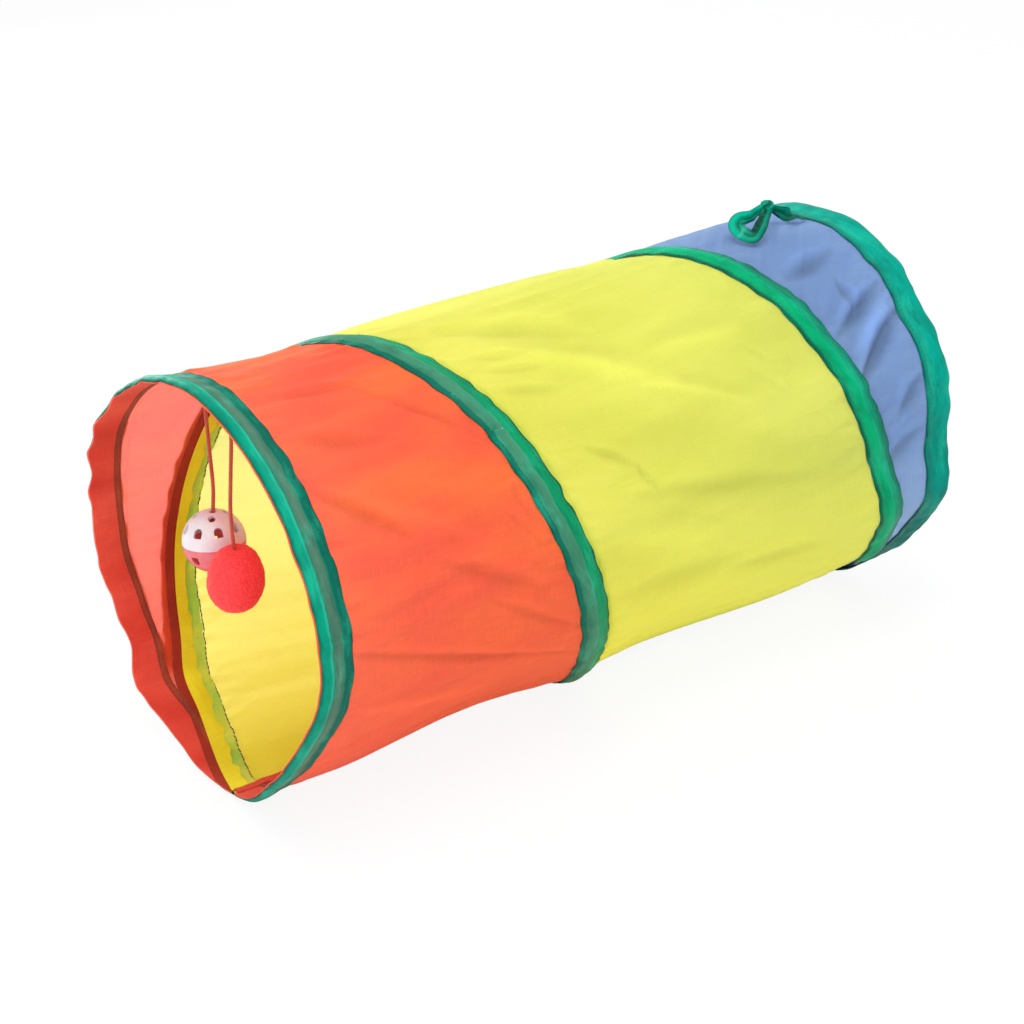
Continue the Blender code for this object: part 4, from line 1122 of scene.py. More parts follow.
# Painted shade: the olive of the yellow cloth where the green tape lies behind it.
olive_painted_shade = cloth_finish("green_allowance_cloth", linear(240, 244, 100), linear(170, 222, 96),
                          linear(230, 250, 140), 0.06, 0.35)
deep_blue = cloth_finish("blue_allowance_cloth", linear(112, 142, 196), linear(100, 130, 186),
                         linear(140, 170, 215), 0.08, 0.3)
START = SEAM_LINE + math.radians(1.5)
SEAM_END = TURN + SEAM_LINE - math.radians(0.6)
COIL_ENDS = {1: (START, SEAM_END), 2: (SEAM_END + math.radians(1.2), TURN + SEAM_END)}


def inner_side(angle, x):
    """Height of the inner face of whichever panel lies here."""
    red, yellow, blue = red_lift(angle, x), yellow_lift(angle, x), blue_lift(angle, x)
    panel_here = np.where(x < join_x(angle), red, np.where(x < join_x(angle + TURN), yellow, blue))
    return panel_here - CLOTH_WALL


def under_cloth(depth):
    """Heights some millimetres below the inner face, also on the second turn of the coil."""
    opposite = SEAM_LINE + math.pi
    return lambda angle, x: inner_side(wrap(angle - opposite) + opposite, x) - depth * MM


def beside_coil(name, turn, low, high, depth, finish, seed, scallop):
    """Strip beside the coil's first or second turn, from low to high millimetres of its wire."""
    return strip(name, COIL_ENDS[turn],
                 lambda a: np.clip(join_x(a) + low(a) * MM, -HALF + 0.5 * MM, HALF - 0.5 * MM),
                 lambda a: np.clip(join_x(a) + high(a) * MM, -HALF + 0.9 * MM, HALF - 0.1 * MM),
                 under_cloth(depth), finish, seed, scallop)


def rising(angle, first, last):
    """From 0 to 1 between two angles in degrees."""
    return soften((angle - math.radians(first)) / math.radians(last - first))


print("the cloth's inner face at the top is at", round(float(inner_side(math.pi, 0.0)) * 1000, 2), "mm")

# %% [markdown]
# ## Which strips there are
# Beside the first turn lie a dark red, a yellow and a greenish strip, beside the second one a blue
# strip. A facing lines the front rim, and a braid covers its raw edge. Every strip is listed with the
# parts of the panel it is turned over from.

# %% Inside strips
# The dark red strip and the olive one are painted shade where the tape lies behind the cloth.
red_strip = beside_coil("red_allowance_painted_shade", 1, level(-7.0), level(-0.4), 0.2, shaded_red, 90, 0.0)
yellow_strip = beside_coil("yellow_allowance", 1, level(-0.8), lambda a: 9.6 - 3.0 * rising(a, 20, 70),
                           0.7, deep_yellow, 91, 0.8)
green_strip = beside_coil("green_allowance", 1, level(4.0), lambda a: 15.4 - 1.6 * rising(a, 40, 95),
                          0.2, olive_painted_shade, 92, 0.15)
blue_strip = beside_coil("blue_allowance", 2, level(-0.8), level(7.0), 0.5, deep_blue, 93, 1.0)
BRAID_NEAR = 16.4 * MM
BRAID_FAR = 20.9 * MM
BRAID_TURN = math.radians(14)
front_braid = strip("front_braid", (BRAID_TURN, SEAM_END), level(-HALF + BRAID_NEAR),
                    level(-HALF + BRAID_FAR), under_cloth(0.3), brown_red, 95, 0.0)
back_braid = strip("back_braid", (math.radians(12), SEAM_END - BRAID_TURN), level(HALF - BRAID_FAR),
                   level(HALF - BRAID_NEAR), under_cloth(0.3), deep_blue, 96, 0.0)


def facing_edge(angle):
    """The front facing ends under the braid, and before the joint where that is nearer."""
    return np.maximum(np.minimum(-HALF + 16.6 * MM, join_x(angle) - 1.0 * MM), -HALF + 1.2 * MM)


front_facing = strip("front_facing", (START, SEAM_END), level(-HALF + 0.7 * MM), facing_edge,
                     under_cloth(0.1), facing_red, 97, 0.0)
STRIP_WALL = 0.3 * MM
for whole, node in ((red_strip, "red_panel"), (yellow_strip, "yellow_panel"),
                    (green_strip, "yellow_panel"), (blue_strip, "blue_panel")):
    for part, body in cut_parts(whole):
        panel_cloth[node][1].append(finish_cloth(part, STRIP_WALL, body))
for whole, node, body in ((front_braid, "red_panel", "front_end"), (front_facing, "red_panel", "front_end"),
                          (back_braid, "blue_panel", "back_end")):
    panel_cloth[node][1].append(finish_cloth(whole, STRIP_WALL, body))
for node, area in (("red_panel", 0.098), ("yellow_panel", 0.196), ("blue_panel", 0.098)):
    main, rest = panel_cloth[node]

# %% [markdown]
# ## The seam along the floor
# The ends of all panels meet in one seam at the bottom. Their edges are turned over together and laid
# flat inside, so the seam is a soft strip a few layers thick.

# %% Bottom seam
def seam_finish():
    """The seam is red in front and blue behind, as the panels are."""
    f = Finish("bottom_seam_cloth")
    place_on = f.add("TexCoord").outputs["Object"]
    x = f.add("SeparateXYZ", place_on).outputs[0]
    tone = f.mix(f.spread(x, -0.005, 0.005), linear(206, 62, 48), linear(96, 124, 178))
    threads = f.noise(place_on, 0.0008, 3, 0.6, (0.1, 1, 1))
    shade = f.scaled(tone, f.spread(threads, 0.3, 0.7, 0.85, 1.12))
    f.set(Base_Color=shade.outputs[0], Roughness=0.8,
          Normal=f.bump(f.noise(place_on, 0.004, 4, 0.6), 0.0008, 0.6))
    return f.material


def seam_piece():
    """Long lens-shaped strip along the floor, with small lumps and bends."""
    reach = 3.0 * MM / CLOTH_RADIUS

    def at(u, v):
        x = -HALF + 2.5 * MM + u * (LENGTH - 5 * MM)
        turn = TURN * v
        wander = 0.25 * waves(x, 0 * x, (0.02, 1), 41)
        lump = 0.12 * waves(x, 0 * x, (0.009, 1), 42)
        side = np.sign(np.sin(turn)) * np.abs(np.sin(turn)) ** 0.6
        angle = reach * (side + 0.3 * wander)
        height = -1.05 * MM - (0.42 + lump) * MM * (1 - np.cos(turn)) * (1 - 0.35 * side)
        return SEAM_LINE - angle, x, height

    piece = grid_piece("floor_seam", 380, 16, lambda u, v: place(*at(u, v)),
                       lambda u, v: (u * LENGTH, v * 0.012))
    close_up(piece)
    piece.data.materials.append(seam_finish())
    return piece


for part, body in cut_parts(seam_piece(), fill=True):
    smooth(part, 60)
    settle(part, body)
    if body == "middle":
        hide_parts("bottom_seam")
    report(part)

# %% [markdown]
# ## The wire
# The spring wire runs inside the tape and only shows as its ridge, but it is there: a hoop at each
# end, two strands in a crimped sleeve, and the helix. The helix is cut where the tunnel folds.

# %% Wire
WIRE_HEIGHT = 1.75 * MM
WIRE_RADIUS = 0.9 * MM
SLEEVE_ANGLE = math.radians(-18.75)


def steel_finish(name, colour, roughness):
    """Drawn wire: fine streaks along it, and a little uneven tarnish."""
    f = Finish(name)
    spot = f.add("TexCoord").outputs["Object"]
    tarnish = f.noise(spot, 0.012, 3, 0.6)
    fine = f.noise(spot, 0.0006, 2, 0.5)
    tone = f.mix(f.spread(tarnish, 0.4, 0.7), colour, tuple(v * 0.6 for v in colour[:3]) + (1,))
    uneven = f.spread(fine, 0.3, 0.7, roughness - 0.08, roughness + 0.1)
    f.set(Base_Color=tone, Metallic=1.0, Roughness=uneven, Normal=f.bump(fine, 0.00003, 0.5))
    return f.material


spring_steel = steel_finish("spring_steel_finish", (0.55, 0.56, 0.58, 1), 0.34)
crimp_zinc = steel_finish("crimp_zinc_finish", (0.42, 0.43, 0.45, 1), 0.45)


def wire_line(first, last, point):
    """Points of the wire, one every degree and a half."""
    angles = np.linspace(first, last, int((last - first) / math.radians(1.5)))
    return point(angles)


def spiral_point(angle):
    """The helix leaves the front hoop and comes back to the back one in the same way."""
    turned = 2 * TURN - angle
    fore = end_point(-1, angle, leaving_inset(angle), WIRE_HEIGHT)
    aft = end_point(1, turned, leaving_inset(turned), WIRE_HEIGHT)
    return np.where((angle <= TURN)[:, None], fore, aft)


GAP_ANGLE = 0.15 * MM / CLOTH_RADIUS
for name, node, end, body in (("front_wire", "front_hoop_wire", -1, "front_end"),
                              ("back_wire", "back_hoop_wire", 1, "back_end")):
    line = wire_line(math.radians(-22.5), TURN + SLEEVE_ANGLE - GAP_ANGLE,
                     lambda a: end_point(end, a, hoop_inset(a), WIRE_HEIGHT))
    hoop = tube_piece(name, line, WIRE_RADIUS, sides=12)
    hoop.data.materials.append(spring_steel)
    settle(hoop, body)
    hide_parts(node)
    report(hoop)

helix_line = wire_line(SLEEVE_ANGLE + GAP_ANGLE, 2 * TURN - SLEEVE_ANGLE - GAP_ANGLE, spiral_point)
helix = tube_piece("helix", helix_line, WIRE_RADIUS, sides=12)
helix.data.materials.append(spring_steel)
for part, body in cut_parts(helix, stem="helix_wire", fill=True):
    settle(part, body)
    if body == "middle":
        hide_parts("spiral_wire")
    report(part)

# %% [markdown]
# ## The crimped sleeves
# A short sleeve holds both ends of a hoop's wire side by side. Pliers pressed three dents into it. It
# is a tube whose radius is wider to the sides and dips at the dents.

# %% Sleeves
SLEEVE_HALF = 1.45 * MM
SLEEVE_REACH = 6 * MM / CLOTH_RADIUS
DENTS = (0.003, 0.006, 0.009)     # where the pliers pressed, metres from the sleeve's end


def flattened(turn, metres):
    wide = WIRE_SPACING / 2 * np.abs(np.sin(turn)) ** 1.5
    dent = 0.16 * MM * sum(bell(metres - spot, 0.7 * MM) for spot in DENTS)
    return SLEEVE_HALF + wide - dent * (1 - np.abs(np.sin(turn)))


for name, node, end, body in (("front_crimp", "front_sleeve", -1, "front_end"),
                              ("back_crimp", "back_sleeve", 1, "back_end")):
    line = end_point(end, np.linspace(SLEEVE_ANGLE - SLEEVE_REACH, SLEEVE_ANGLE + SLEEVE_REACH, 41),
                     HOOP_INSET + WIRE_SPACING / 2, WIRE_HEIGHT)
    crimp = tube_piece(name, line, flattened, sides=28, up=(0, 0, 1))
    crimp.data.materials.append(crimp_zinc)
    settle(crimp, body)
    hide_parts(node)
    report(crimp)

# %% [markdown]
# ## Stitches
# Tape and cloth are joined by a row of straight stitches along each folded edge. One stitch is
# modelled as a small pinched bead with few faces, and copies of it are laid along the edges.

# %% Stitches
def stitch_shape():
    """Points and faces of a small round bead."""
    bead = primitive(bpy.ops.mesh.primitive_uv_sphere_add, segments=6, ring_count=4, radius=1)
    points = corners_of(bead)
    faces = [tuple(f.vertices) for f in bead.data.polygons]
    bpy.data.objects.remove(bead, do_unlink=True)
    return points, faces


BEAD_POINTS, BEAD_FACES = stitch_shape()
STITCH_PITCH = 3.1 * MM
AXIS_HEIGHT = 127.7 * MM


def stitch_row(line, outward, length, width, height, seed):
    """Copies of the bead along a line: points and faces."""
    rng = np.random.default_rng(seed)
    along = unit(np.gradient(line, axis=0))
    across = np.cross(outward, along)
    points, faces = [], []
    for k in range(len(line)):
        lean = rng.normal(0, 0.1)
        direction = along[k] + lean * across[k]
        beside = np.cross(outward[k], direction)
        size = 1 + rng.normal(0, 0.06)
        bead = (line[k] + BEAD_POINTS[:, 2:3] * direction * length / 2 * size
                + BEAD_POINTS[:, 0:1] * beside * width / 2 + BEAD_POINTS[:, 1:2] * outward[k] * height / 2)
        shift = len(points) * len(BEAD_POINTS)
        faces.extend(tuple(shift + i for i in face) for face in BEAD_FACES)
        points.append(bead)
    return np.concatenate(points), faces


def stitches(name, rows, finish, body, length=2.4 * MM, width=0.55 * MM):
    """One object with several rows of stitches. A row is (first angle, last angle, points, seed)."""
    all_points, all_faces, shift = [], [], 0
    for first, last, point_at, seed in rows:
        count = int(CLOTH_RADIUS * abs(last - first) / STITCH_PITCH)
        line = point_at(np.linspace(first, last, count))
        outward = unit(line * (0, 1, 1) - (0, 0, AXIS_HEIGHT))
        points, faces = stitch_row(line, outward, length, width, 0.45 * MM, seed)
        all_points.append(points)
        all_faces.extend(tuple(shift + i for i in face) for face in faces)
        shift += len(points)
    mesh = bpy.data.meshes.new(name)
    mesh.from_pydata(np.concatenate(all_points).tolist(), [], all_faces)
    piece = bpy.data.objects.new(name, mesh)
    bpy.context.collection.objects.link(piece)
    edit(piece, lambda: bpy.ops.mesh.normals_make_consistent(inside=False))
    mesh.shade_smooth()
    mesh.materials.append(finish)
    settle(piece, body)
    return report(piece)


print("one stitch has", len(BEAD_POINTS), "points")

# %% [markdown]
# ## Threads and rows
# The tape is sewn with dark green thread, and the braid with a brown one. Rows start and stop where
# the tape has its full width. The row inside the tunnel wanders, because it was sewn blind.

# %% Sewn rows
def thread_finish(name, colour):
    """Spun thread: fine slanted twist and a soft sheen."""
    f = Finish(name)
    spot = f.add("TexCoord").outputs["Object"]
    fuzz = f.noise(spot, 0.0004, 2, 0.6)
    tone = f.mix(f.spread(fuzz, 0.3, 0.7), tuple(v * 0.75 for v in colour[:3]) + (1,), colour)
    f.set(Base_Color=tone, Roughness=0.6, Normal=f.bump(fuzz, 0.0001, 0.7))
    f.shader.inputs["Sheen Weight"].default_value = 0.2
    return f.material


green_thread = thread_finish("dark_green_thread", linear(6, 74, 58))
brown_thread = thread_finish("dark_brown_thread", linear(92, 40, 30))
NEARLY = math.radians(299)
SEWN_AT = SEWN_ROW / TAPE_WIDTH
NEAR_ROW = partial(place, height=-1.05 * MM, x=-HALF + 17.2 * MM)
FAR_ROW = partial(place, height=-1.05 * MM, x=-HALF + 20.1 * MM)
END_ROW = (NEARLY - TURN, NEARLY - 0.02)
stitches("front_stitches", [(*END_ROW, lambda a: on_front(a, 1 - SEWN_AT), 1)],
         green_thread, "front_end")
stitches("back_stitches", [(*END_ROW, lambda a: on_back(a, 1 - SEWN_AT), 3)],
         green_thread, "back_end")
FULL_FROM = math.radians(50)
COIL_ROW = (FULL_FROM, 2 * TURN - FULL_FROM)
stitches("spiral_stitches", [(*COIL_ROW, lambda a: on_coil(a, SEWN_AT), 5),
                             (*COIL_ROW, lambda a: on_coil(a, 1 - SEWN_AT), 6)],
         green_thread, "middle")
BRAID_ROW = (0.32, SEAM_END - 0.01)
stitches("braid_stitches", [(*BRAID_ROW, NEAR_ROW, 2), (*BRAID_ROW, FAR_ROW, 9)],
         brown_thread, "front_end")


def inner_row(angle):
    """The row inside that holds the coil's tape: it wanders, and bridges the folds of the allowance."""
    first_turn = np.where(angle < SEAM_END, 1, 0)
    wander = 0.4 * np.sin(9 * angle) + 3.0 * first_turn * (1 - rising(angle, 40, 95))
    x = join_x(angle) + (12.9 + wander) * MM
    return place(angle, x, under_cloth(0.55)(angle, x))


stitches("inner_stitches", [(math.radians(-7), SEAM_END - 0.02, inner_row, 7),
                            (SEAM_END + 0.05, 2 * TURN - FULL_FROM, inner_row, 8)],
         green_thread, "middle", 3.6 * MM, 0.9 * MM)

# %% [markdown]
# ## Knots
# Each cord is caught by an overhand knot. A trefoil is the simplest closed knot, so one strand is
# swept along a small trefoil. A thinner strand than the cord itself shows its turns better.

# %% Knots
def cord_finish(name, colour, dark):
    """Spun cord, a little worn and orange in places."""
    f = Finish(name)
    uv = f.add("UVMap").outputs[0]
    fuzz = f.noise(uv, 0.0005, 3, 0.6, (1, 1, 1))
    wear = f.noise(f.add("TexCoord").outputs["Object"], 0.006, 2)
    tone = f.mix(f.spread(fuzz, 0.3, 0.7), dark, colour)
    tone = f.mix(f.spread(wear, 0.4, 0.75, 0, 0.22), tone, linear(222, 120, 78))
    f.set(Base_Color=tone, Roughness=0.5, Normal=f.bump(fuzz, 0.00025, 0.8))
    f.shader.inputs["Sheen Weight"].default_value = 0.25
    return f.material


orange_cord = cord_finish("twisted_orange_cord", linear(206, 70, 44), linear(160, 38, 22))
for string in (ball_string, pompom_string):
    string.data.materials.append(orange_cord)


def knot_piece(name, node, centre, body):
    """A strand swept along a trefoil."""
    turn = np.linspace(0, TURN, 97)
    loop = np.stack([np.sin(turn) + 2 * np.sin(2 * turn), np.cos(turn) - 2 * np.cos(2 * turn),
                     -1.7 * np.sin(3 * turn)], -1)
    line = np.array(centre) + loop * 0.46 * MM
    knot = tube_piece(name, line, 0.78 * MM, sides=10, up=(0.3, 0.2, 0.9), cap=False)
    knot.data.materials.append(orange_cord)
    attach(knot, body)
    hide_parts(node)
    return report(knot)


STOP_KNOT = BALL_CORD_END - Vector((0, 0, 0.0025))
for name, node, centre, body in (("ball_knot", "ball_cord_knot", BALL_KNOT, "ball"),
                                 ("pompom_knot", "pompom_cord_knot", POMPOM_KNOT, "pompom"),
                                 ("stop_knot", "ball_stop_knot", STOP_KNOT, "ball")):
    knot_piece(name, node, centre, body)

# %% [markdown]
# ## The rattle ball
# The ball is moulded in two halves, one white and one pink, that snap together. Each half has a ring
# of arched windows and four round holes near its pole, and the white one has a hole for the cord. A
# half starts as a sphere, is cut in two, gets a wall, and one set of prisms cuts its windows. A fine
# bevel softens all edges.

# %% Ball windows
BALL_RADIUS = 19 * MM
BALL_WALL = 1.6 * MM
BALL_TILT = Matrix.Rotation(math.radians(-6.5), 4, "X")
UPPER_TURN = BALL_TILT @ Matrix.Rotation(math.radians(27.5), 4, "Z")
LOWER_TURN = BALL_TILT @ Matrix.Rotation(math.radians(18), 4, "Z") @ Matrix.Rotation(math.pi, 4, "X")
WINDOW_HALF = 2.7 * MM
WINDOWS = 8
POLE_HOLE_RADIUS = 2.3 * MM
POLE_HOLE_LATITUDE = math.radians(62)
CORD_HOLE_RADIUS = 2.1 * MM
CUTTER_DEPTH = 12 * MM
QUARTERS = [math.radians(d) for d in (34, 124, 214, 304)]


def prism_out(vertices, radius, outline, turn, latitude):
    """Prism along a direction out of the ball. outline moves the corners of its round section."""
    prism = primitive(bpy.ops.mesh.primitive_cylinder_add, vertices=vertices, radius=radius,
                      depth=CUTTER_DEPTH)
    for vertex in prism.data.vertices:
        vertex.co = outline(*vertex.co)
    upright = Matrix.Rotation(math.radians(90), 4, "Z") @ Matrix.Rotation(math.radians(90), 4, "X")
    prism.data.transform(Matrix.Rotation(turn, 4, "Z") @ Matrix.Rotation(-latitude, 4, "Y")
                         @ Matrix.Translation((18.5 * MM, 0, 0)) @ upright)
    return prism


def arched(x, y, z):
    """A window has a flat foot with small corners, straight sides, and an arched top."""
    if y < 0:
        corner = max(abs(x) / WINDOW_HALF - 0.8, 0) / 0.2
        return x, -2.2 * MM + 0.35 * MM * corner, z
    return x, y * 1.12 + 0.9 * MM, z


def window_prisms(latitude, pole_holes):
    """Arched prisms that point outwards, and the round ones near the pole."""
    prisms = [prism_out(36, WINDOW_HALF, arched, TURN * k / WINDOWS, latitude) for k in range(WINDOWS)]
    for turn in pole_holes:
        prisms.append(prism_out(28, POLE_HOLE_RADIUS, lambda x, y, z: (x, y, z), turn, POLE_HOLE_LATITUDE))
    bpy.ops.object.select_all(action="DESELECT")
    for prism in prisms:
        prism.select_set(True)
    bpy.context.view_layer.objects.active = prisms[0]
    bpy.ops.object.join()
    return prisms[0]


print("each half has", WINDOWS, "windows and", len(QUARTERS), "holes near its pole")

# %% [markdown]
# ## Two halves of the ball
# Both halves are made in the same way, only turned and coloured differently. The plastic is thin,
# so a little light passes through it. The bell and its pea are small and only seen through the
# windows, so they keep their CAD shape and get a metal finish.

# %% Ball halves
def cut_away(shell, cutter):
    """Take a cutter's volume out of a shell, and remove the cutter."""
    add_modifier(shell, "BOOLEAN", operation="DIFFERENCE", object=cutter, solver="EXACT")
    bpy.data.objects.remove(cutter, do_unlink=True)


def ball_shell(name, node, finish, turn, latitude, cord_hole):
    """One half of the ball, from a sphere that is cut just above its middle."""
    shell = primitive(bpy.ops.mesh.primitive_uv_sphere_add, name, segments=96, ring_count=48,
                      radius=BALL_RADIUS)
    edit(shell, lambda: bpy.ops.mesh.bisect(plane_co=(0, 0, 0.08 * MM), plane_no=(0, 0, 1),
                                            clear_inner=True))
    add_modifier(shell, "SOLIDIFY", thickness=BALL_WALL, offset=-1)
    cut_away(shell, window_prisms(latitude, QUARTERS))
    shell.data.transform(Matrix.Translation(BALL_CENTRE) @ turn)
    if cord_hole:
        drill = primitive(bpy.ops.mesh.primitive_cylinder_add, vertices=32, radius=CORD_HOLE_RADIUS,
                          depth=CUTTER_DEPTH, location=BALL_CENTRE + Vector((0, 0, BALL_RADIUS)))
        cut_away(shell, drill)
    add_modifier(shell, "BEVEL", width=0.22 * MM, segments=2, limit_method="ANGLE",
                 angle_limit=math.radians(40))
    smooth(shell, 40)
    shell.data.materials.clear()
    shell.data.materials.append(finish)
    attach(shell, "ball")
    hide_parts(node)
    return report(shell)


def plastic_finish(name, colour, shade, glow):
    """Thin moulded plastic: smooth, a little see-through at its edges, with faint flow marks."""
    f = Finish(name)
    spot = f.add("TexCoord").outputs["Object"]
    flow = f.noise(spot, 0.009, 3, 0.5)
    fine = f.noise(spot, 0.0012, 2, 0.5)
    tone = f.mix(f.spread(flow, 0.35, 0.65), colour, shade)
    uneven = f.spread(fine, 0.3, 0.7, 0.26, 0.36)
    f.set(Base_Color=tone, Roughness=uneven, Normal=f.bump(fine, 0.00004, 0.4))
    f.shader.inputs["Subsurface Weight"].default_value = 0.15
    f.shader.inputs["Subsurface Radius"].default_value = (0.003, 0.002, 0.0015)
    return f.lead_out(0.2, f.add("BsdfTranslucent", glow))


white_plastic = plastic_finish("white_ball_plastic", linear(248, 255, 255), linear(246, 238, 248),
                               linear(255, 240, 240))
pink_plastic = plastic_finish("pink_ball_plastic", linear(246, 138, 146), linear(238, 120, 130),
                              linear(255, 150, 140))
ball_top = ball_shell("ball_top", "ball_upper_half", white_plastic, UPPER_TURN, math.radians(30),
                      cord_hole=True)
ball_bottom = ball_shell("ball_bottom", "ball_lower_half", pink_plastic, LOWER_TURN, math.radians(20),
                         cord_hole=False)

brass = steel_finish("bell_brass_finish", (0.80, 0.58, 0.22, 1), 0.25)
for node, finish in (("bell", brass), ("bell_pea", spring_steel)):
    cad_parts[node].data.materials.clear()
    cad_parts[node].data.materials.append(finish)

# %% [markdown]
# ## The pompom
# The pompom is a bundle of red yarn felted to an egg. Its body is a soft lumpy form, and thousands of
# short fibres stand on it. One fibre is a three-sided spike, so all of them stay light.

# %% Pompom
def egg(directions):
    """Distance from the pompom's centre in some directions: an egg with a dimple for the cord."""
    polar = np.arccos(np.clip(directions[:, 2], -1, 1))
    turn = np.arctan2(directions[:, 1], directions[:, 0])
    oval = 1 / np.hypot(np.sin(polar) / 0.0168, np.cos(polar) / 0.0218)
    lump = 0.2 * MM * np.sin(5 * turn + 2 * np.sin(3 * polar)) * np.sin(polar)
    flat = -0.6 * MM * bell(math.pi - polar, 0.7) + 0.5 * MM * bell(polar - 2.2, 0.5)
    return oval + lump + flat - 3 * MM * bell(polar, 0.22) - 0.3 * MM


def felt_tufts(points, size, seed, count=60):
    """Seeded noise in space, so that it has no seam or pole on the pompom."""
    rng = np.random.default_rng(seed)
    total = 0
    for _ in range(count):
        direction = rng.normal(size=3)
        direction *= rng.uniform(0.6, 1.4) / size / np.linalg.norm(direction)
        total = total + np.sin(TURN * (points @ direction) + rng.uniform(0, TURN))
    return total / math.sqrt(count / 2)


def plush_finish():
    """Felted yarn, soft and matt."""
    f = Finish("red_plush")
    spot = f.add("TexCoord").outputs["Object"]
    tuft = f.noise(spot, 0.0012, 3, 0.6)
    tone = f.mix(f.spread(tuft, 0.35, 0.65), linear(238, 48, 54), linear(255, 78, 80))
    f.set(Base_Color=tone, Roughness=0.95, Normal=f.bump(tuft, 0.00035, 0.7))
    f.shader.inputs["Sheen Weight"].default_value = 0.4
    f.shader.inputs["Sheen Tint"].default_value = linear(255, 150, 140)
    return f.material


red_plush = plush_finish()
pompom = primitive(bpy.ops.mesh.primitive_ico_sphere_add, "pompom_body", subdivisions=6, radius=1)
directions = corners_of(pompom)
POMPOM_LEAN = np.array(Matrix.Rotation(math.radians(7), 3, (0.79, 0.61, 0.0)))


def pompom_point(directions, above):
    """Point on the leaning egg, some metres above its surface."""
    size = egg(directions)
    surface = directions * size[:, None]
    size = size + 0.11 * MM * felt_tufts(surface, 0.0022, 7) + 0.1 * MM * felt_tufts(surface, 0.008, 8)
    lift = POMPOM_LEAN @ (directions * (size + above)[:, None]).T
    return lift.T + np.array(POMPOM_CENTRE)


pompom.data.vertices.foreach_set("co", pompom_point(directions, np.zeros(len(directions))).ravel())
pompom.data.shade_smooth()
pompom.data.materials.append(red_plush)
print("pompom body", len(directions), "points")

# %% [markdown]
# ## Fibres of the pompom
# Each fibre starts a little below the felt and leans in a random direction. All of them are one mesh
# that is made from arrays of roots, tips and two side directions, which is quick even for thousands.

# %% Pompom fibres
FIBRES = 9000
FIBRE_RADIUS = 0.1 * MM
SPIKE_FACES = ((0, 1, 3), (1, 2, 3), (2, 0, 3), (0, 2, 1))
rng = np.random.default_rng(5)
roots = unit(rng.normal(size=(FIBRES, 3)))
start = pompom_point(roots, np.full(FIBRES, -0.2 * MM))
lean = unit((POMPOM_LEAN @ roots.T).T + rng.normal(0, 0.9, (FIBRES, 3)))
tip = start + lean * rng.uniform(0.35, 0.75, (FIBRES, 1)) * MM
side_a = unit(np.cross(lean, rng.normal(size=(FIBRES, 3))))
side_b = np.cross(lean, side_a)
spikes = np.stack([start + FIBRE_RADIUS * side_a, start + FIBRE_RADIUS * (-0.5 * side_a + 0.87 * side_b),
                   start + FIBRE_RADIUS * (-0.5 * side_a - 0.87 * side_b), tip], 1).reshape(-1, 3)
faces = [tuple(4 * k + corner for corner in face) for k in range(FIBRES) for face in SPIKE_FACES]
mesh = bpy.data.meshes.new("pompom_fibres")
mesh.from_pydata(spikes.tolist(), [], faces)
fibres = bpy.data.objects.new("pompom_fibres", mesh)
bpy.context.collection.objects.link(fibres)
mesh.materials.append(red_plush)
for piece in (pompom, fibres):
    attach(piece, "pompom")
    report(piece)
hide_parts("pompom")

# %% [markdown]
# ## The tie
# A satin ribbon sewn at the back tape keeps the folded tunnel shut. A ribbon has a thin lens-like
# section with a crease along its middle, and it is swept along listed points. Its width and the
# way it faces may change at each point.

# %% Ribbon
# Colours across the ribbon, which is one green: the dark stops of the loop are painted shade, its lightest
# ones painted highlights, and the later leg stops paint shade over the loop's second half.
LOOP_STOPS = [(0.0, 0, 70, 56), (0.15, 0, 120, 96), (0.3, 26, 156, 120), (0.42, 0, 92, 74),
              (0.5, 0, 150, 120), (0.7, 0, 192, 156), (0.92, 0, 182, 148), (1.0, 0, 104, 84)]
LEG_PAINTED_SHADE_STOPS = [(0.0, 0, 46, 36), (0.3, 0, 62, 48), (0.48, 0, 86, 68), (0.6, 0, 150, 118), (0.8, 0, 122, 98),
             (1.0, 0, 80, 64)]
green_ribbon = tape_finish("green_satin_ribbon", LOOP_STOPS, LEG_PAINTED_SHADE_STOPS)
# Painted shade: the strap is drawn dark all over.
STRAP_STOPS = [(0.0, 0, 60, 48), (0.3, 0, 96, 78), (0.45, 0, 58, 46), (0.55, 0, 110, 88),
               (0.9, 0, 128, 104), (1.0, 0, 64, 52)]
painted_shade_ribbon = tape_finish("green_ribbon_painted_shade", STRAP_STOPS)
RIBBON_WALL = 0.5 * MM
RIBBON_STEP = 0.6 * MM


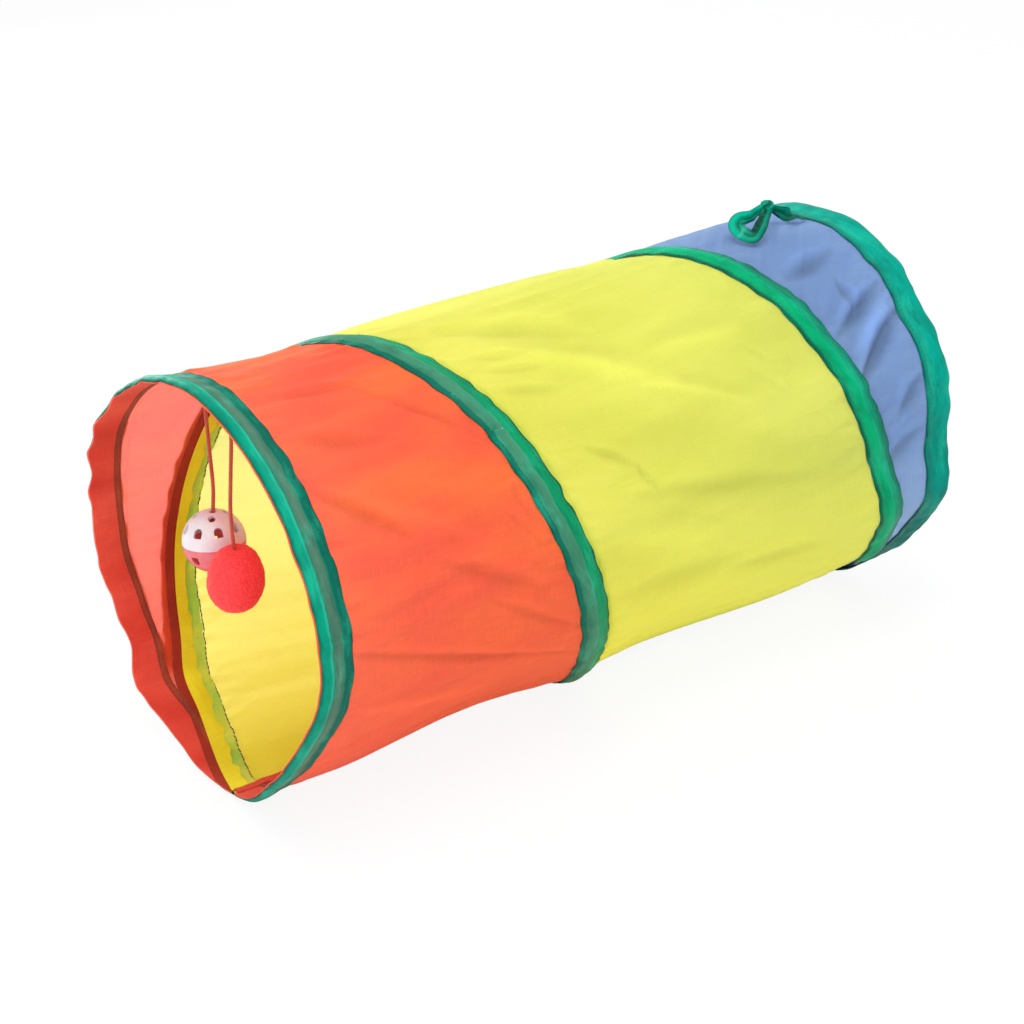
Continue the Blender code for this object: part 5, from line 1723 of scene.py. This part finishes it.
def ribbon_piece(name, line, widths, facings, crease, curl, finish):
    """Creased ribbon along a line. widths and facings hold for each point of it."""
    along = unit(np.gradient(line, axis=0))
    wide = unit(facings - np.sum(facings * along, 1)[:, None] * along)
    up = np.cross(along, wide)
    last, half = len(line) - 1, 12
    across = np.concatenate([np.linspace(-1, 1, half), np.linspace(1, -1, half)])
    run = run_along(line)

    def at(u, v):
        return np.rint(u * last).astype(int), np.rint(v * 2 * half).astype(int) % (2 * half)

    def shape(u, v):
        k, j = at(u, v)
        side, below = across[j], j >= half
        bend = crease * MM * (1 - bell(side, 0.25)) + curl * MM * side ** 2
        bend += 0.25 * MM * waves(run[k], side * 0.003, (0.006, 0.004), 33)
        thick = RIBBON_WALL * np.sqrt(np.maximum(1 - side ** 4, 0.05))
        height = bend + np.where(below, -thick / 2, thick / 2)
        return line[k] + wide[k] * (side * widths[k] / 2)[:, None] + up[k] * height[:, None]

    def measure(u, v):
        k, j = at(u, v)
        return run[k], across[j] * widths[k] / 2

    # The later mark turns the second part of a ribbon to its later stops, which on the loop are painted
    # shade.
    def marks(u, v):
        return {"across": (across[at(u, v)[1]] + 1) / 2, "later": soften((u - 0.4) / 0.2)}

    piece = grid_piece(name, last, 2 * half, shape, measure, marks)
    close_up(piece, 1e-6)
    smooth(piece, 60)
    piece.data.materials.append(finish)
    return piece


print("ribbons", green_ribbon.name, painted_shade_ribbon.name)

# %% [markdown]
# ## Strap, knot and loop
# Here the tie stands open: a short strap, a knot, and a loop over the blue cloth. The strap lies
# flat where it is sewn and turns on edge towards the knot. The knot is a ball with folds round it,
# because a real ribbon knot that small shows little more than its folds.

# %% Tie
def tie_point(from_tape, off_top, height):
    """Point above the cloth near the tie: millimetres from the tape, degrees off the top, millimetres."""
    return Vector(place(math.pi + math.radians(off_top), HALF - END_COVER - from_tape * MM, height * MM))


TIE_ROOT = tie_point(1.4, -2.0, 0.8)
TIE_KNOT = tie_point(27.0, -6.2, 12.8)
KNOT_HALF = 5 * MM
INTO_KNOT = KNOT_HALF - 0.9 * MM
STRAP_LINE = [TIE_ROOT, tie_point(7.0, -1.6, 2.6), tie_point(14.0, -2.4, 5.4)]
STRAP_LINE.append(TIE_KNOT + (STRAP_LINE[-1] - TIE_KNOT).normalized() * INTO_KNOT)
line, length = smooth_line(STRAP_LINE, RIBBON_STEP)
share = np.linspace(0, 1, len(line))
stood_up = soften((share - 0.22) / 0.7)
strap_facing = np.outer(1 - stood_up, (0, 1, 0)) + np.outer(stood_up, (0.15, -0.35, 0.92))
strap_width = 9.5 * MM * (0.22 + 0.78 * soften(share / 0.6)) * (1 - 0.35 * soften((share - 0.65) / 0.35))
strap = ribbon_piece("tie_ribbon_strap", line, strap_width, strap_facing, -0.5, 0.4, painted_shade_ribbon)
print("strap", round(length * 1000, 1), "mm")

LOOP_LINE = [(44.0, -5.4, 10.6), (53.0, -6.0, 9.6), (60.4, -3.6, 7.6), (62.8, 1.0, 5.4), (60.2, 3.6, 4.9),
             (53.6, 2.4, 6.6), (44.6, -0.2, 8.8)]
outline = [TIE_KNOT + Vector((-0.98, 0.1, -0.05)).normalized() * INTO_KNOT]
outline += [tie_point(*point) for point in LOOP_LINE]
outline.append(TIE_KNOT + Vector((-0.6, -0.77, -0.2)).normalized() * INTO_KNOT)
line, length = smooth_line(outline, RIBBON_STEP)
share = np.linspace(0, 1, len(line))
# The loop stands on edge where it leaves the knot, and turns its face to the front left on the way round
FRONT_LEFT = np.array((-0.55, -0.71, 0.44))
turned = unit(np.cross(np.gradient(line, axis=0), FRONT_LEFT))
open_face = 0.5 + 0.5 * soften((share - 0.1) / 0.2)
open_face = (open_face * (1 - 0.3 * soften((share - 0.55) / 0.15)))[:, None]
loop_facing = turned * open_face + FRONT_LEFT * (1 - open_face)
loop_width = (7.0 + 3.4 * bell(share - 0.36, 0.2) + 1.8 * bell(share - 0.72, 0.12)) * MM
loop = ribbon_piece("tie_ribbon_loop", line, loop_width, loop_facing, -0.6, 0.4, green_ribbon)
print("loop", round(length * 1000, 1), "mm")

tie_knot = primitive(bpy.ops.mesh.primitive_uv_sphere_add, "tie_ribbon_knot", segments=56, ring_count=36,
                     radius=1)
ball = corners_of(tie_knot)
turn, polar = np.arctan2(ball[:, 1], ball[:, 0]), np.arccos(np.clip(ball[:, 2], -1, 1))
fold = np.cos(2 * turn + 3 * polar) * np.sin(polar)
crease = -bell(np.sin(turn + 1.6 * polar), 0.16) * np.sin(polar)
size = KNOT_HALF * (1 + 0.09 * (fold - 1) + 0.12 * crease)
lumpy = ball * size[:, None] * (1.12, 1.1, 1.0) + np.array(TIE_KNOT)
tie_knot.data.vertices.foreach_set("co", lumpy.ravel())
tie_knot.data.shade_smooth()
tie_knot.data.materials.append(green_ribbon)
# Painted light and shade: the across mark lays the loop's ramp in bands that follow the knot's folds.
mark = tie_knot.data.attributes.new("across", "FLOAT", "POINT")
mark.data.foreach_set("value", np.clip(0.5 + 0.5 * np.sin(2 * (turn + 1.6 * polar)), 0, 1))
for piece, node in ((strap, "tie_strap"), (loop, "tie_loop"), (tie_knot, "tie_knot")):
    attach(piece, "tie")
    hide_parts(node)
    report(piece)

# %% [markdown]
# ## Floor and background
# The photograph's background is white. The floor is a pale plane that the camera sees as nearly pure
# white, so only a faint shadow is left on it. The world is a pale even light, and a second background
# is painted only for rays that come straight from the camera or from a shiny surface.

# %% Stage
def stage_finish():
    """Nearly white floor that the camera sees as almost pure white."""
    f = Finish("pale_floor")
    grain = f.noise(f.add("TexCoord").outputs["Object"], 0.03, 4, 0.6)
    tone = f.mix(f.spread(grain, 0.3, 0.7), linear(248, 248, 248), linear(252, 252, 252))
    f.set(Base_Color=tone, Roughness=0.9)
    f.shader.inputs["Specular IOR Level"].default_value = 0.0
    share = f.math("MULTIPLY", f.add("LightPath").outputs["Is Camera Ray"], 0.9)
    return f.lead_out(share, f.add("Emission", (1, 1, 1, 1)))


floor = primitive(bpy.ops.mesh.primitive_plane_add, "floor", size=8, location=(0, 0, -0.0002))
floor.data.materials.append(stage_finish())

world = bpy.data.worlds.new("soft_studio")
bpy.context.scene.world = world
world.use_nodes = True
tree = world.node_tree
ambient = tree.nodes["Background"]
ambient.inputs["Color"].default_value = (1, 1, 1, 1)
ambient.inputs["Strength"].default_value = 0.8
backdrop = tree.nodes.new("ShaderNodeBackground")
backdrop.inputs["Strength"].default_value = 1.0
path = tree.nodes.new("ShaderNodeLightPath")
either = tree.nodes.new("ShaderNodeMath")
either.operation = "MAXIMUM"
blend = tree.nodes.new("ShaderNodeMixShader")
tree.links.new(path.outputs["Is Camera Ray"], either.inputs[0])
tree.links.new(path.outputs["Is Glossy Ray"], either.inputs[1])
tree.links.new(either.outputs[0], blend.inputs[0])
tree.links.new(ambient.outputs[0], blend.inputs[1])
tree.links.new(backdrop.outputs[0], blend.inputs[2])
tree.links.new(blend.outputs[0], tree.nodes["World Output"].inputs[0])
print("world light", ambient.inputs["Strength"].default_value)

# %% [markdown]
# ## Lamps
# The photograph is lit evenly from all sides. One broad lamp above makes the top a little brighter,
# one stands beside the camera, and one on the far side shines through the cloth.

# %% Lamps
def lamp(name, location, aim, size, power):
    """Round soft lamp that points at a place."""
    bpy.ops.object.select_all(action="DESELECT")
    bpy.ops.object.light_add(type="AREA", location=location)
    light = bpy.context.object
    light.name = name
    light.data.shape = "DISK"
    light.data.size = size
    light.data.energy = power
    light.rotation_euler = (Vector(aim) - Vector(location)).to_track_quat("-Z", "Y").to_euler()
    return light


lamp("broad_top_lamp", (-0.3, -0.4, 1.6), (0, 0, 0.1), size=1.0, power=12)
lamp("side_lamp", (-1.3, -0.9, 0.9), (0, 0, 0.1), size=0.8, power=3)
lamp("far_side_lamp", (-0.1, 1.5, 0.55), (0, 0, 0.08), size=0.9, power=18)
bpy.context.scene.view_settings.view_transform = "Standard"
